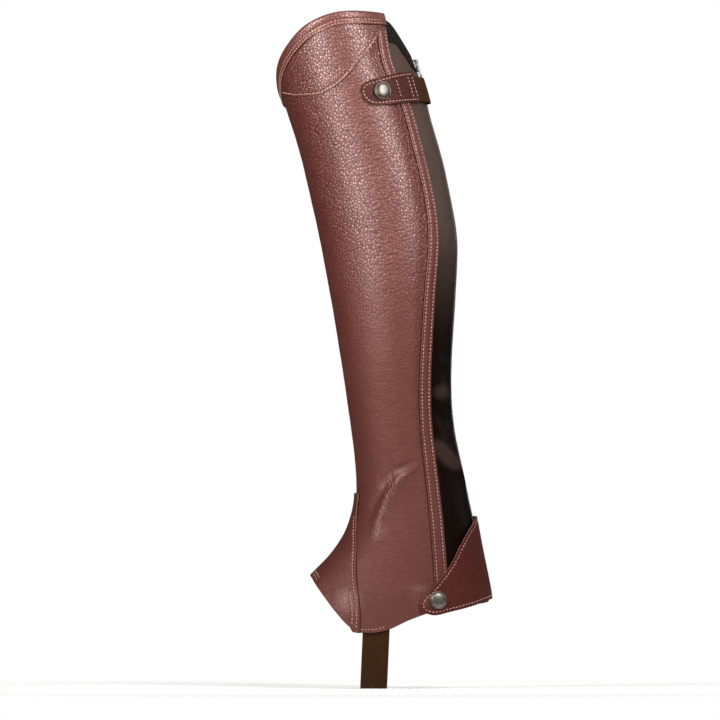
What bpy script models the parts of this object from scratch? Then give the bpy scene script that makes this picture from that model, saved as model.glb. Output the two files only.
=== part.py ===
"""A leather half chap, zipped, snapped and filled out as it is worn on the left leg.

X runs from the toe to the heel, -Y is the outer side of the leg and +Z is up. The origin lies
in the middle of the hollow leg, level with the fullest part of the calf. Every cloth piece is
a wall over one leg surface. A place on that surface is a turn and a height: the turn is in
degrees round the leg from the middle of the back, 90 on the outer side and 180 at the shin.
A lift is a distance off that surface, along its normal. Lengths are in metres.
"""

import math
from collections import namedtuple

import bmesh
import bpy
import numpy as np
from mathutils import Matrix, Vector

# Thickness of the materials, and the gap at a seam
LEATHER = 0.0018
OVERLAY = 0.0013
STRETCH = 0.0012
TAPE = 0.0010
FLAP_LEATHER = 0.0016
TAB_LEATHER = 0.0015
SEAM_GAP = 0.0003
BUTT_GAP = 0.0006
BIND_GAP = 0.0006
ON_LEATHER = LEATHER + SEAM_GAP
ON_STRETCH = STRETCH + SEAM_GAP

# Widths of the narrow pieces
STRIP_WIDTH = 0.0086
STRIP_OVERHANG = 0.0012
BINDING_DEPTH = 0.0090
BINDING_WALL = 0.0014
BINDING_RETURN = 0.0045
BINDING_LEAN = 250.0
ZIP_OPENING = 0.0100
CHAIN_WIDTH = 0.0060
CHAIN_HEIGHT = 0.0013
TAPE_REACH = 0.0130
STIRRUP_WIDTH = 0.0220
STIRRUP_WALL = 0.0014

# Zip slider and pull
SLIDER_HEIGHT_ON_LEG = 0.1424
SLIDER_LENGTH = 0.0095
SLIDER_WIDTH = 0.0072
SLIDER_PLATE = 0.0015
BRIDGE_WIDTH = 0.0018
BRIDGE_WALL = 0.0010
BRIDGE_RISE = 0.0024
PULL_LENGTH = 0.0126
PULL_WIDTH = 0.0084
PULL_WIRE = 0.0012
PULL_REST_GAP = 0.0003

# Snap fasteners
SNAP_RADIUS = 0.0073
SNAP_HEIGHT = 0.0034
POST_RADIUS = 0.0050
POST_HEIGHT = 0.0010
SNAP_SIDES = 28
TAB_BOW = 0.0005
INNER_RADIUS = 0.030

# The leg surface: one row for each height, with the places of the shin and of the back of the
# leg, half of the width, and how much narrower the shin side is than the calf side.
Section = namedtuple("Section", "z front back half_width egg")
SECTIONS = (
    Section(0.2050, -0.1072, -0.0060, 0.0600, 0.03),
    Section(0.1722, -0.1004, 0.0074, 0.0600, 0.04),
    Section(0.1460, -0.0950, 0.0168, 0.0590, 0.05),
    Section(0.1214, -0.0886, 0.0250, 0.0580, 0.06),
    Section(0.0984, -0.0812, 0.0311, 0.0567, 0.07),
    Section(0.0656, -0.0714, 0.0404, 0.0550, 0.08),
    Section(0.0328, -0.0637, 0.0475, 0.0536, 0.09),
    Section(0.0000, -0.0565, 0.0524, 0.0520, 0.09),
    Section(-0.0328, -0.0503, 0.0519, 0.0498, 0.09),
    Section(-0.0656, -0.0445, 0.0501, 0.0468, 0.08),
    Section(-0.0984, -0.0392, 0.0483, 0.0437, 0.06),
    Section(-0.1312, -0.0343, 0.0483, 0.0408, 0.03),
    Section(-0.1640, -0.0297, 0.0521, 0.0390, 0.00),
    Section(-0.1968, -0.0267, 0.0592, 0.0384, 0.00),
    Section(-0.2132, -0.0269, 0.0625, 0.0387, 0.01),
    Section(-0.2296, -0.0303, 0.0661, 0.0396, 0.03),
    Section(-0.2460, -0.0375, 0.0692, 0.0408, 0.05),
    Section(-0.2624, -0.0494, 0.0724, 0.0420, 0.08),
    Section(-0.2788, -0.0653, 0.0758, 0.0432, 0.10),
    Section(-0.2952, -0.0795, 0.0786, 0.0444, 0.12),
    Section(-0.3321, -0.1040, 0.0800, 0.0456, 0.14),
)

# Soft folds in the leather and the stretch cloth. Rows that share a name follow one fold.
Crease = namedtuple("Crease", "fold turn z lift width")
CREASES = (
    Crease("instep ridge", 84, -0.1850, 0.0000, 0.0080),
    Crease("instep ridge", 101, -0.1940, 0.0013, 0.0085),
    Crease("instep ridge", 117, -0.2091, 0.0017, 0.0090),
    Crease("instep ridge", 126, -0.2296, 0.0015, 0.0100),
    Crease("instep ridge", 121, -0.2480, 0.0007, 0.0100),
    Crease("instep ridge", 115, -0.2650, 0.0000, 0.0100),
    Crease("ankle hollow", 168, -0.1960, 0.0000, 0.0080),
    Crease("ankle hollow", 145, -0.1900, -0.0008, 0.0090),
    Crease("ankle hollow", 118, -0.1850, -0.0008, 0.0090),
    Crease("ankle hollow", 92, -0.1800, 0.0000, 0.0090),
    Crease("inner ridge", 272, -0.1850, 0.0000, 0.0080),
    Crease("inner ridge", 246, -0.2050, 0.0016, 0.0090),
    Crease("inner ridge", 236, -0.2380, 0.0010, 0.0100),
    Crease("inner ridge", 242, -0.2600, 0.0000, 0.0100),
    Crease("stretch oval", 44, -0.1230, 0.0002, 0.0090),
    Crease("stretch oval", 30, -0.1240, 0.0016, 0.0090),
    Crease("stretch oval", 16, -0.1210, 0.0004, 0.0090),
    Crease("stretch hollow", 48, -0.1440, -0.0004, 0.0090),
    Crease("stretch hollow", 28, -0.1500, -0.0010, 0.0090),
    Crease("stretch ridge", 50, -0.1650, 0.0002, 0.0080),
    Crease("stretch ridge", 36, -0.1760, 0.0018, 0.0085),
    Crease("stretch ridge", 24, -0.1870, 0.0018, 0.0085),
    Crease("stretch ridge", 10, -0.1960, 0.0004, 0.0085),
    Crease("calf bulge", 34, 0.0040, 0.0000, 0.0120),
    Crease("calf bulge", 28, -0.0140, 0.0014, 0.0120),
    Crease("calf bulge", 26, -0.0330, 0.0004, 0.0120),
)

# Outlines, as turn and height. The leather's top runs from the outer back corner over the
# knee's outer side, down round the shin and along the inner side to the zip.
Place = namedtuple("Place", "turn z")
LEATHER_TOP = (
    Place(30, 0.1818), Place(37, 0.1830), Place(50, 0.1843), Place(64, 0.1852),
    Place(81, 0.1848), Place(90, 0.1832), Place(99, 0.1804), Place(109, 0.1764),
    Place(120, 0.1703),
    Place(133, 0.1610), Place(146, 0.1512), Place(158, 0.1414), Place(168, 0.1320),
    Place(180, 0.1224), Place(192, 0.1184), Place(210, 0.1172), Place(240, 0.1206),
    Place(270, 0.1296), Place(300, 0.1396), Place(320, 0.1444), Place(340, 0.1456),
    Place(364, 0.1452),
)
LEATHER_HEM_OUTER = (
    Place(40, -0.2960), Place(55, -0.3010), Place(68, -0.3067), Place(76.5, -0.3116),
    Place(87.5, -0.3198), Place(95, -0.3218), Place(103.5, -0.3218), Place(106.5, -0.3190),
    Place(110.5, -0.3075), Place(120.5, -0.2870), Place(129.5, -0.2747), Place(142.5, -0.2624),
    Place(155.5, -0.2526), Place(180, -0.2444),
)
LEATHER_HEM_BY_ZIP = (Place(316, -0.3010), Place(362, -0.2960))
YOKE_HEM = (
    Place(44, 0.1730), Place(54, 0.1656), Place(65.5, 0.1558), Place(77, 0.1460),
    Place(90, 0.1345), Place(103, 0.1255), Place(120, 0.1189), Place(138, 0.1181),
    Place(159, 0.1197), Place(172, 0.1222),
)
STRETCH_TOP = (
    Place(0, 0.1440), Place(6, 0.1456), Place(12, 0.1500), Place(20, 0.1592),
    Place(25, 0.1662), Place(30, 0.1736), Place(36, 0.1785), Place(42, 0.1806),
)
STRETCH_HEM_LINE = (
    Place(0, 0.1340), Place(8, 0.1356), Place(13, 0.1376), Place(18.6, 0.1406),
    Place(25, 0.1488), Place(30, 0.1550), Place(34, 0.1598), Place(46, 0.1612),
)
GUSSET_HEM_OUTER = (
    Place(98, -0.3228), Place(101, -0.3223), Place(108, -0.3165), Place(119.5, -0.3050),
    Place(134, -0.2927), Place(150, -0.2837), Place(165, -0.2788), Place(180, -0.2772),
)
FLAP_TOP = (
    Place(-56, -0.2330), Place(-35, -0.2296), Place(-12, -0.2272), Place(0, -0.2272),
    Place(10, -0.2284), Place(20, -0.2324), Place(32, -0.2386), Place(45, -0.2509),
    Place(55.6, -0.2681), Place(61.6, -0.2780), Place(66.4, -0.2862), Place(69.6, -0.2902),
    Place(71.4, -0.2936), Place(72.1, -0.2966),
)
FLAP_HEM = (
    Place(-56, -0.2990), Place(-30, -0.2965), Place(0, -0.2944), Place(20, -0.2962),
    Place(33, -0.2993), Place(52.7, -0.3046), Place(62.5, -0.3074), Place(67.4, -0.3060),
    Place(70.4, -0.3032), Place(71.7, -0.3002), Place(72.1, -0.2982),
)
TAB_TOP = (
    Place(31.5, 0.1366), Place(46, 0.1357), Place(54, 0.1345), Place(66, 0.1320),
    Place(74.5, 0.1298), Place(79.5, 0.1272), Place(82.4, 0.1238), Place(83.4, 0.1208),
)
TAB_HEM = (
    Place(31.5, 0.1117), Place(46, 0.1113), Place(66, 0.1100), Place(74.5, 0.1096),
    Place(79.5, 0.1114), Place(82.4, 0.1148), Place(83.4, 0.1178),
)
STRAP_TOP = (Place(-48, 0.1290), Place(0, 0.1311), Place(30, 0.1326), Place(46, 0.1330))
STRAP_HEM = (Place(-48, 0.1090), Place(0, 0.1107), Place(30, 0.1123), Place(46, 0.1127))

# The seam of leather and stretch cloth, by its place from toe to heel, and the zip's wander
Seam = namedtuple("Seam", "z x")
BACK_SEAM = (
    Seam(0.1886, -0.0094), Seam(0.1615, -0.0053), Seam(0.1345, 0.0020), Seam(0.1107, 0.0127),
    Seam(0.0730, 0.0235), Seam(0.0525, 0.0287), Seam(0.0205, 0.0347), Seam(0.0000, 0.0361),
    Seam(-0.0344, 0.0341), Seam(-0.0738, 0.0317), Seam(-0.1246, 0.0300), Seam(-0.1624, 0.0321),
    Seam(-0.2058, 0.0375), Seam(-0.2378, 0.0410), Seam(-0.2681, 0.0435), Seam(-0.3140, 0.0480),
)
Line = namedtuple("Line", "z turn")
ZIP_LINE = (
    Line(0.160, 8.0), Line(0.110, 5.0), Line(0.070, 2.5), Line(0.030, 3.0), Line(0.000, 4.5),
    Line(-0.050, 3.5), Line(-0.100, 2.5), Line(-0.200, 2.0), Line(-0.300, 1.0),
)
GUSSET_SEAM = (
    Line(-0.2040, 160.5), Line(-0.2214, 160.0), Line(-0.2378, 149.8), Line(-0.2501, 139.0),
    Line(-0.2624, 129.6), Line(-0.2870, 112.7), Line(-0.3075, 104.2), Line(-0.3225, 100.7),
)

# The loose pieces: first and last turn, and how far each stands off along its length
FLAP_SPAN = (-54, 72.1)
TAB_SPAN = (31.5, 83.4)
STRAP_SPAN = (-46, 40)
Stand = namedtuple("Stand", "turn lift")
FLAP_STANDS = (
    Stand(-56, ON_LEATHER), Stand(-34, 0.0023), Stand(-14, 0.0032), Stand(0, 0.0034),
    Stand(20, 0.0035), Stand(45, 0.0039), Stand(68, 0.0038), Stand(73, 0.0032),
)
STRAP_STANDS = (
    Stand(-48, ON_LEATHER), Stand(-32, 0.0022), Stand(-18, 0.0030), Stand(-8, 0.0037),
    Stand(4, 0.0041), Stand(12, 0.0040), Stand(20, 0.0036), Stand(32, 0.0031),
    Stand(46, 0.0025),
)
TAB_STANDS = (
    Stand(31, 0.0048), Stand(38, 0.0046), Stand(44, 0.0043), Stand(52, 0.0041),
    Stand(62, 0.0039), Stand(69, 0.0028), Stand(76, 0.0023), Stand(84, 0.0022),
)

# The middle line of the elastic loop on one side, as its reach out from the leg's middle in
# the width of the leather that it starts against, and its height
Loop = namedtuple("Loop", "inward z")
LOOP_ROUTE = (
    Loop(0.0000, -0.3120), Loop(0.0000, -0.3220), Loop(0.0008, -0.3340), Loop(0.0030, -0.3480),
    Loop(0.0070, -0.3600), Loop(0.0125, -0.3655),
)
LOOP_SOLE_HALF = 0.0240
LOOP_TURN = 94.0
LOOP_LEAN = 0.045
LOOP_HUG_START_Z = -0.3450
LOOP_HUG_HEIGHT = 0.0240
LOWEST_LEATHER_Z = -0.3230

# Other places
TOP_CORNER_Z = 0.1840
TOP_ZIP_Z = 0.1490
YOKE_END_TURN = 164.0
STRIP_TOP_Z = 0.1732
STRIP_BOTTOM_Z = -0.2880
STRETCH_BOTTOM_Z = -0.2860
GUSSET_TOP_Z = -0.2075
ZIP_TOP_Z = 0.1452
ZIP_BOTTOM_Z = -0.2820
LOOP_BOTTOM_Z = -0.3674
UPPER_SNAP = Place(66.3, 0.1215)
LOWER_SNAP = Place(61.6, -0.2952)

# Colours: linear red, green and blue
CHESTNUT = (0.205, 0.065, 0.050)
CHESTNUT_EDGE = (0.170, 0.052, 0.042)
UMBER_STRETCH = (0.045, 0.028, 0.024)
DARK_TRIM = (0.018, 0.012, 0.010)
TAN_ELASTIC = (0.060, 0.026, 0.010)
OLD_SILVER = (0.420, 0.400, 0.370)
BRIGHT_NICKEL = (0.700, 0.700, 0.690)


class Curve:
    """A smooth line through rows of place and value. One that turns corners never overshoots."""

    def __init__(self, at, value, corners=False):
        order = np.argsort(at)
        self.at = np.asarray(at, float)[order]
        self.value = np.asarray(value, float)[order]
        step = np.diff(self.at)
        rise = np.diff(self.value) / step
        self.slope = self.eased(rise) if corners else self.even(step, rise)

    @staticmethod
    def eased(rise):
        slope = np.concatenate([rise[:1], np.zeros(len(rise) - 1), rise[-1:]])
        for i in range(1, len(rise)):
            if rise[i - 1] * rise[i] > 0:
                slope[i] = 2 * rise[i - 1] * rise[i] / (rise[i - 1] + rise[i])
        return slope

    @staticmethod
    def even(step, rise):
        count = len(step) + 1
        matrix = np.zeros((count, count))
        right = np.zeros(count)
        matrix[0, :2] = 2, 1
        matrix[-1, -2:] = 1, 2
        right[0], right[-1] = 3 * rise[0], 3 * rise[-1]
        for i in range(1, count - 1):
            matrix[i, i - 1] = 1 / step[i - 1]
            matrix[i, i] = 2 / step[i - 1] + 2 / step[i]
            matrix[i, i + 1] = 1 / step[i]
            right[i] = 3 * (rise[i - 1] / step[i - 1] + rise[i] / step[i])
        return np.linalg.solve(matrix, right)

    def __call__(self, at):
        at = np.clip(np.asarray(at, float), self.at[0], self.at[-1])
        i = np.clip(np.searchsorted(self.at, at) - 1, 0, len(self.at) - 2)
        step = self.at[i + 1] - self.at[i]
        t = (at - self.at[i]) / step
        start = self.value[i] * (2 * t**3 - 3 * t**2 + 1)
        start = start + self.slope[i] * step * (t**3 - 2 * t**2 + t)
        end = self.value[i + 1] * (3 * t**2 - 2 * t**3)
        return start + end + self.slope[i + 1] * step * (t**3 - t**2)


def column(rows, name):
    return [getattr(row, name) for row in rows]


def outline(places, corners=True):
    return Curve(column(places, "turn"), column(places, "z"), corners)


def mirrored(places):
    """The places of the outer side, and the same on the inner side of the leg."""
    inner = [Place(360 - place.turn, place.z) for place in places if place.turn < 180]
    return tuple(places) + tuple(reversed(inner))


FRONT = Curve(column(SECTIONS, "z"), column(SECTIONS, "front"))
BACK = Curve(column(SECTIONS, "z"), column(SECTIONS, "back"))
HALF_WIDTH = Curve(column(SECTIONS, "z"), column(SECTIONS, "half_width"))
EGG = Curve(column(SECTIONS, "z"), column(SECTIONS, "egg"))
ZIP = Curve(column(ZIP_LINE, "z"), column(ZIP_LINE, "turn"))
GUSSET_SIDE = Curve(column(GUSSET_SEAM, "z"), column(GUSSET_SEAM, "turn"), corners=True)


def seam_turn(row):
    """The turn of a point on the outer side, from its place between toe and heel."""
    middle = (FRONT(row.z) + BACK(row.z)) / 2
    reach = (BACK(row.z) - FRONT(row.z)) / 2
    return math.degrees(math.acos((row.x - middle) / reach))


SEAM = Curve(column(BACK_SEAM, "z"), [seam_turn(row) for row in BACK_SEAM])


def surface(turn, z):
    angle = np.radians(turn)
    middle = (FRONT(z) + BACK(z)) / 2
    reach = (BACK(z) - FRONT(z)) / 2
    x = middle + reach * np.cos(angle)
    y = -HALF_WIDTH(z) * np.sin(angle) * (1 + EGG(z) * np.cos(angle))
    return np.stack([x, y, np.broadcast_to(z, np.shape(x))], axis=-1)


def slopes(turn, z, turn_step=0.5, z_step=0.0005):
    """How a point moves for one degree of turn, and for one metre of height."""
    by_turn = (surface(turn + turn_step, z) - surface(turn - turn_step, z)) / (2 * turn_step)
    by_z = (surface(turn, z + z_step) - surface(turn, z - z_step)) / (2 * z_step)
    return by_turn, by_z


def normals(turn, z):
    by_turn, by_z = slopes(turn, z)
    out = np.cross(by_z, by_turn)
    return out / np.linalg.norm(out, axis=-1, keepdims=True)


def degrees_for(length, z):
    """The turn that a length round the leg takes up at this height."""
    radius = (HALF_WIDTH(z) + (BACK(z) - FRONT(z)) / 2) / 2
    return np.degrees(length / radius)


def fold_lines():
    """Each fold's rows, in the order of the table."""
    names = list(dict.fromkeys(column(CREASES, "fold")))
    return [[row for row in CREASES if row.fold == name] for name in names]


def folds(turn, z):
    """The lift of the soft folds at a place: for each fold, that of its nearest stretch."""
    lift = np.zeros(np.shape(turn))
    metres = math.radians(1) * 0.048
    for rows in fold_lines():
        nearest = np.full(np.shape(turn), 1e9)
        height = np.zeros(np.shape(turn))
        for row, after in zip(rows, rows[1:]):
            start = np.array([row.turn * metres, row.z])
            run = np.array([after.turn * metres, after.z]) - start
            away = np.stack([turn * metres, z], axis=-1) - start
            along = np.clip(away @ run / (run @ run), 0, 1)
            side = away - along[..., None] * run
            width = row.width + (after.width - row.width) * along
            far = np.linalg.norm(side, axis=-1) / width
            closer = far < nearest
            nearest = np.where(closer, far, nearest)
            height = np.where(closer, row.lift + (after.lift - row.lift) * along, height)
        lift = lift + height * np.exp(-(nearest**2))
    return lift


def skin(turn, z, lift):
    lift = np.asarray(lift, float)[..., None]
    return surface(turn, z) + lift * normals(turn, z)


def cut(across, up, left, right, bottom, top):
    """Places on a panel between two side edges, which give a turn for each height, and two
    ends, which give a height for each turn. across and up run from 0 to 1."""
    u, v = np.meshgrid(across, up)
    z = bottom(left(0 * u)) * (1 - v) + top(left(0 * u)) * v
    for _ in range(80):
        turn = left(z) * (1 - u) + right(z) * u
        z = 0.5 * z + 0.5 * (bottom(turn) * (1 - v) + top(turn) * v)
    return turn, z


def material(name, colour, roughness, metallic=0.0):
    made = bpy.data.materials.new(name)
    made.use_nodes = True
    shader = made.node_tree.nodes["Principled BSDF"]
    shader.inputs["Base Color"].default_value = (*colour, 1.0)
    shader.inputs["Roughness"].default_value = roughness
    shader.inputs["Metallic"].default_value = metallic
    return made


def add_object(name, points, faces, finish, sharp=40):
    mesh = bpy.data.meshes.new(name)
    mesh.from_pydata([tuple(map(float, point)) for point in points], [], faces)
    mesh.validate()
    mesh.shade_smooth()
    mesh.set_sharp_from_angle(angle=math.radians(sharp))
    made = bpy.data.objects.new(name, mesh)
    made.data.materials.append(finish)
    bpy.context.scene.collection.objects.link(made)
    return made


def wall(name, inside, outside, finish):
    """A closed wall between two grids of points, with heights in rows and turns in columns."""
    rows, columns = inside.shape[:2]
    count = rows * columns
    points = np.concatenate([outside.reshape(-1, 3), inside.reshape(-1, 3)])

    def at(row, across):
        return row * columns + across

    faces = []
    for row in range(rows - 1):
        for across in range(columns - 1):
            a, b = at(row, across), at(row + 1, across)
            faces.append((a, b, b + 1, a + 1))
            faces.append((count + a + 1, count + b + 1, count + b, count + a))
    rim = [at(0, across) for across in range(columns)]
    rim += [at(row, columns - 1) for row in range(1, rows)]
    rim += [at(rows - 1, across) for across in range(columns - 2, -1, -1)]
    rim += [at(row, 0) for row in range(rows - 2, 0, -1)]
    for here, after in zip(rim, rim[1:] + rim[:1]):
        faces.append((here, after, count + after, count + here))
    return add_object(name, points, faces, finish)


def panel(name, places, lift, thickness, finish, folded=True):
    turn, z = places
    fold = folds(turn, z) if folded else 0
    return wall(name, skin(turn, z, lift + fold), skin(turn, z, lift + thickness + fold), finish)


def sweep(name, rings, finish):
    """A closed solid through rings of points, all with the same number of points."""
    rings = [[tuple(point) for point in ring] for ring in rings]
    size = len(rings[0])
    faces = []
    for ring in range(len(rings) - 1):
        for i in range(size):
            j = (i + 1) % size
            a, b = ring * size, (ring + 1) * size
            faces.append((a + i, a + j, b + j, b + i))
    last = (len(rings) - 1) * size
    faces.append(tuple(range(size - 1, -1, -1)))
    faces.append(tuple(range(last, last + size)))
    made = add_object(name, [point for ring in rings for point in ring], faces, finish)
    grid = bmesh.new()
    grid.from_mesh(made.data)
    bmesh.ops.recalc_face_normals(grid, faces=grid.faces)
    grid.to_mesh(made.data)
    grid.free()
    return made


def beside(turn, z, distance):
    """A line of places moved sideways on the surface by a distance, to its right hand side when
    it is followed in order of turn and seen from outside, which is downwards."""
    points = surface(turn, z)
    ahead = np.gradient(points, axis=0)
    ahead /= np.linalg.norm(ahead, axis=-1, keepdims=True)
    down = np.cross(normals(turn, z), ahead)
    down *= -np.sign(down[:, 2:3])
    by_turn, by_z = slopes(turn, z)
    tt = (by_turn * by_turn).sum(-1)
    tz = (by_turn * by_z).sum(-1)
    zz = (by_z * by_z).sum(-1)
    dt, dz = (down * by_turn).sum(-1), (down * by_z).sum(-1)
    room = tt * zz - tz * tz
    return (
        turn + distance * (zz * dt - tz * dz) / room,
        z + distance * (tt * dz - tz * dt) / room,
    )


def top_line(count):
    """Places along the leather's top edge, from the outer back corner to the zip."""
    top = outline(LEATHER_TOP, corners=False)
    first = SEAM(TOP_CORNER_Z) + degrees_for(SEAM_GAP, TOP_CORNER_Z)
    last = 360 + ZIP(TOP_ZIP_Z) - degrees_for(ZIP_OPENING / 2, TOP_ZIP_Z)
    turn = np.linspace(first, last, count)
    return turn, top(turn)


def binding_profile(wall_thickness, outer_wall, drop_out, drop_in):
    """The folded strip over an edge, as lift and drop, round a wall with this thickness."""
    out, inside = wall_thickness + BIND_GAP, -BIND_GAP
    return (
        (out, drop_out), (out + outer_wall * 0.9, drop_out), (out + outer_wall, 0.0012),
        (out + outer_wall * 0.45, -0.0010), (wall_thickness / 2, -0.0018),
        (inside - outer_wall * 0.5, -0.0010), (inside - outer_wall * 0.8, 0.0008),
        (inside - outer_wall * 0.8, drop_in), (inside, drop_in), (inside, -BIND_GAP),
        (out, -BIND_GAP),
    )


def edge_binding(name, turn, z, profile, finish):
    rings = [[] for _ in turn]
    for lift, drop in profile:
        moved_turn, moved_z = beside(turn, z, drop)
        moved_turn[0] -= BINDING_LEAN * drop * (lift > 0)
        for ring, point in zip(rings, skin(moved_turn, moved_z, lift + 0 * moved_turn)):
            ring.append(point)
    return sweep(name, rings, finish)


def main_panel(finish):
    """The one-piece leather round the shin, with the notch for the instep piece."""
    hem = outline(mirrored(LEATHER_HEM_OUTER[1:])[:-1] + LEATHER_HEM_BY_ZIP)
    top = outline(LEATHER_TOP, corners=False)
    nominal_left, nominal_right, still_left, still_right = 45, 357, 100, 260
    stations = np.concatenate([
        np.linspace(nominal_left, 97, 8), [104, 108, 113, 118.5, 124.5],
        np.linspace(131, 229, 14), [236, 243, 249, 254, 260], np.linspace(268, nominal_right, 10),
    ])
    heights = np.concatenate([
        np.linspace(0, 0.10, 5), np.linspace(0.10, 0.30, 19)[1:],
        np.linspace(0.30, 0.975, 22)[1:], [1.0],
    ])
    station, v = np.meshgrid(stations, heights)
    z = hem(station) * (1 - v) + top(station) * v
    near_left = np.clip((still_left - station) / (still_left - nominal_left), 0, 1)
    near_right = np.clip((station - still_right) / (nominal_right - still_right), 0, 1)
    for _ in range(80):
        zip_edge = 360 + ZIP(z) - degrees_for(ZIP_OPENING / 2, z)
        turn = station + (SEAM(z) - nominal_left) * near_left
        turn = turn + (zip_edge - nominal_right) * near_right
        z = 0.5 * z + 0.5 * (hem(turn) * (1 - v) + top(turn) * v)
    return panel("main_panel", (turn, z), 0.0, LEATHER, finish)


def top_yoke(finish):
    """The shaped overlay under the top binding, on the outer side."""
    turn, z = beside(*top_line(200), BINDING_DEPTH + BUTT_GAP)
    under_binding = Curve(turn[turn < 178], z[turn < 178])
    places = cut(
        np.linspace(0, 1, 19), np.linspace(0, 1, 8),
        left=lambda z: SEAM(z) + degrees_for(STRIP_WIDTH + SEAM_GAP, z),
        right=lambda z: YOKE_END_TURN + 0 * z,
        bottom=outline(YOKE_HEM), top=under_binding,
    )
    return panel("top_yoke", places, ON_LEATHER, OVERLAY, finish)


def top_binding(finish):
    turn, z = top_line(54)
    profile = binding_profile(LEATHER, BINDING_WALL, BINDING_DEPTH, BINDING_RETURN)
    return edge_binding("top_binding", turn, z, profile, finish)


def edge_strip(finish):
    """The flat strip, stitched twice, over the seam of leather and stretch cloth."""
    places = cut(
        np.linspace(0, 1, 4), np.linspace(0, 1, 44),
        left=lambda z: SEAM(z) - degrees_for(STRIP_OVERHANG, z),
        right=lambda z: SEAM(z) + degrees_for(STRIP_WIDTH, z),
        bottom=lambda turn: STRIP_BOTTOM_Z + 0 * turn, top=lambda turn: STRIP_TOP_Z + 0 * turn,
    )
    return panel("edge_strip", places, ON_LEATHER, OVERLAY, finish)


def stretch_panel(finish):
    places = cut(
        np.linspace(0, 1, 7), np.linspace(0, 1, 46),
        left=lambda z: ZIP(z) + degrees_for(ZIP_OPENING / 2, z),
        right=lambda z: SEAM(z) - degrees_for(BUTT_GAP, z),
        bottom=lambda turn: STRETCH_BOTTOM_Z + 0 * turn, top=outline(STRETCH_TOP, corners=False),
    )
    return panel("stretch_panel", places, 0.0, STRETCH, finish)


def stretch_hem(finish):
    """The dark band that bounds the top of the stretch cloth."""
    places = cut(
        np.linspace(0, 1, 9), np.linspace(0, 1, 4),
        left=lambda z: ZIP(z) + degrees_for(ZIP_OPENING / 2, z),
        right=lambda z: SEAM(z) - degrees_for(2 * STRIP_OVERHANG + SEAM_GAP, z),
        bottom=outline(STRETCH_HEM_LINE), top=outline(STRETCH_TOP, corners=False),
    )
    return panel("stretch_hem", places, ON_STRETCH, TAPE, finish)


def zip_tape(name, side, finish):
    """One of the two tapes, under the edges of the zip opening."""
    near, far = CHAIN_WIDTH / 2 + SEAM_GAP, TAPE_REACH
    low, high = (near, far) if side > 0 else (-far, -near)
    top_z = ZIP_TOP_Z if side > 0 else ZIP_TOP_Z - BINDING_RETURN
    places = cut(
        np.linspace(0, 1, 3), np.linspace(0, 1, 40),
        left=lambda z: ZIP(z) + degrees_for(low, z),
        right=lambda z: ZIP(z) + degrees_for(high, z),
        bottom=lambda turn: ZIP_BOTTOM_Z + 0 * turn, top=lambda turn: top_z + 0 * turn,
    )
    return panel(name, places, -BUTT_GAP - TAPE, TAPE, finish)


def zip_chain(finish):
    """The closed teeth, as one plain bar."""
    places = cut(
        np.linspace(0, 1, 3), np.linspace(0, 1, 56),
        left=lambda z: ZIP(z) - degrees_for(CHAIN_WIDTH / 2, z),
        right=lambda z: ZIP(z) + degrees_for(CHAIN_WIDTH / 2, z),
        bottom=lambda turn: ZIP_BOTTOM_Z + 0 * turn,
        top=lambda turn: SLIDER_HEIGHT_ON_LEG + SLIDER_LENGTH / 2 + 0 * turn,
    )
    bottom = -BUTT_GAP - TAPE
    return panel("zip_chain", places, bottom, CHAIN_HEIGHT - bottom, finish)


def instep_gusset(finish):
    """The saddle-shaped piece over the instep, lapped on the main panel."""
    places = cut(
        0.5 - 0.5 * np.cos(np.linspace(0, np.pi, 29)), np.linspace(0, 1, 13),
        left=GUSSET_SIDE, right=lambda z: 360 - GUSSET_SIDE(z),
        bottom=outline(mirrored(GUSSET_HEM_OUTER)), top=lambda turn: GUSSET_TOP_Z + 0 * turn,
    )
    return panel("instep_gusset", places, ON_LEATHER + SEAM_GAP, OVERLAY, finish)


def stands_off(stands):
    return Curve(column(stands, "turn"), column(stands, "lift"), corners=True)


def loose_band(name, span, bottom, top, stands, thickness, size, finish):
    """A piece that leaves the surface: its lift follows its own table."""
    first, last = span
    across, up = size
    spread = 1 - (1 - np.linspace(0, 1, across)) ** 1.6
    places = cut(
        spread, np.linspace(0, 1, up),
        left=lambda z: first + 0 * z, right=lambda z: last + 0 * z,
        bottom=outline(bottom), top=outline(top),
    )
    return panel(name, places, stands_off(stands)(places[0]), thickness, finish, folded=False)


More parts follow.
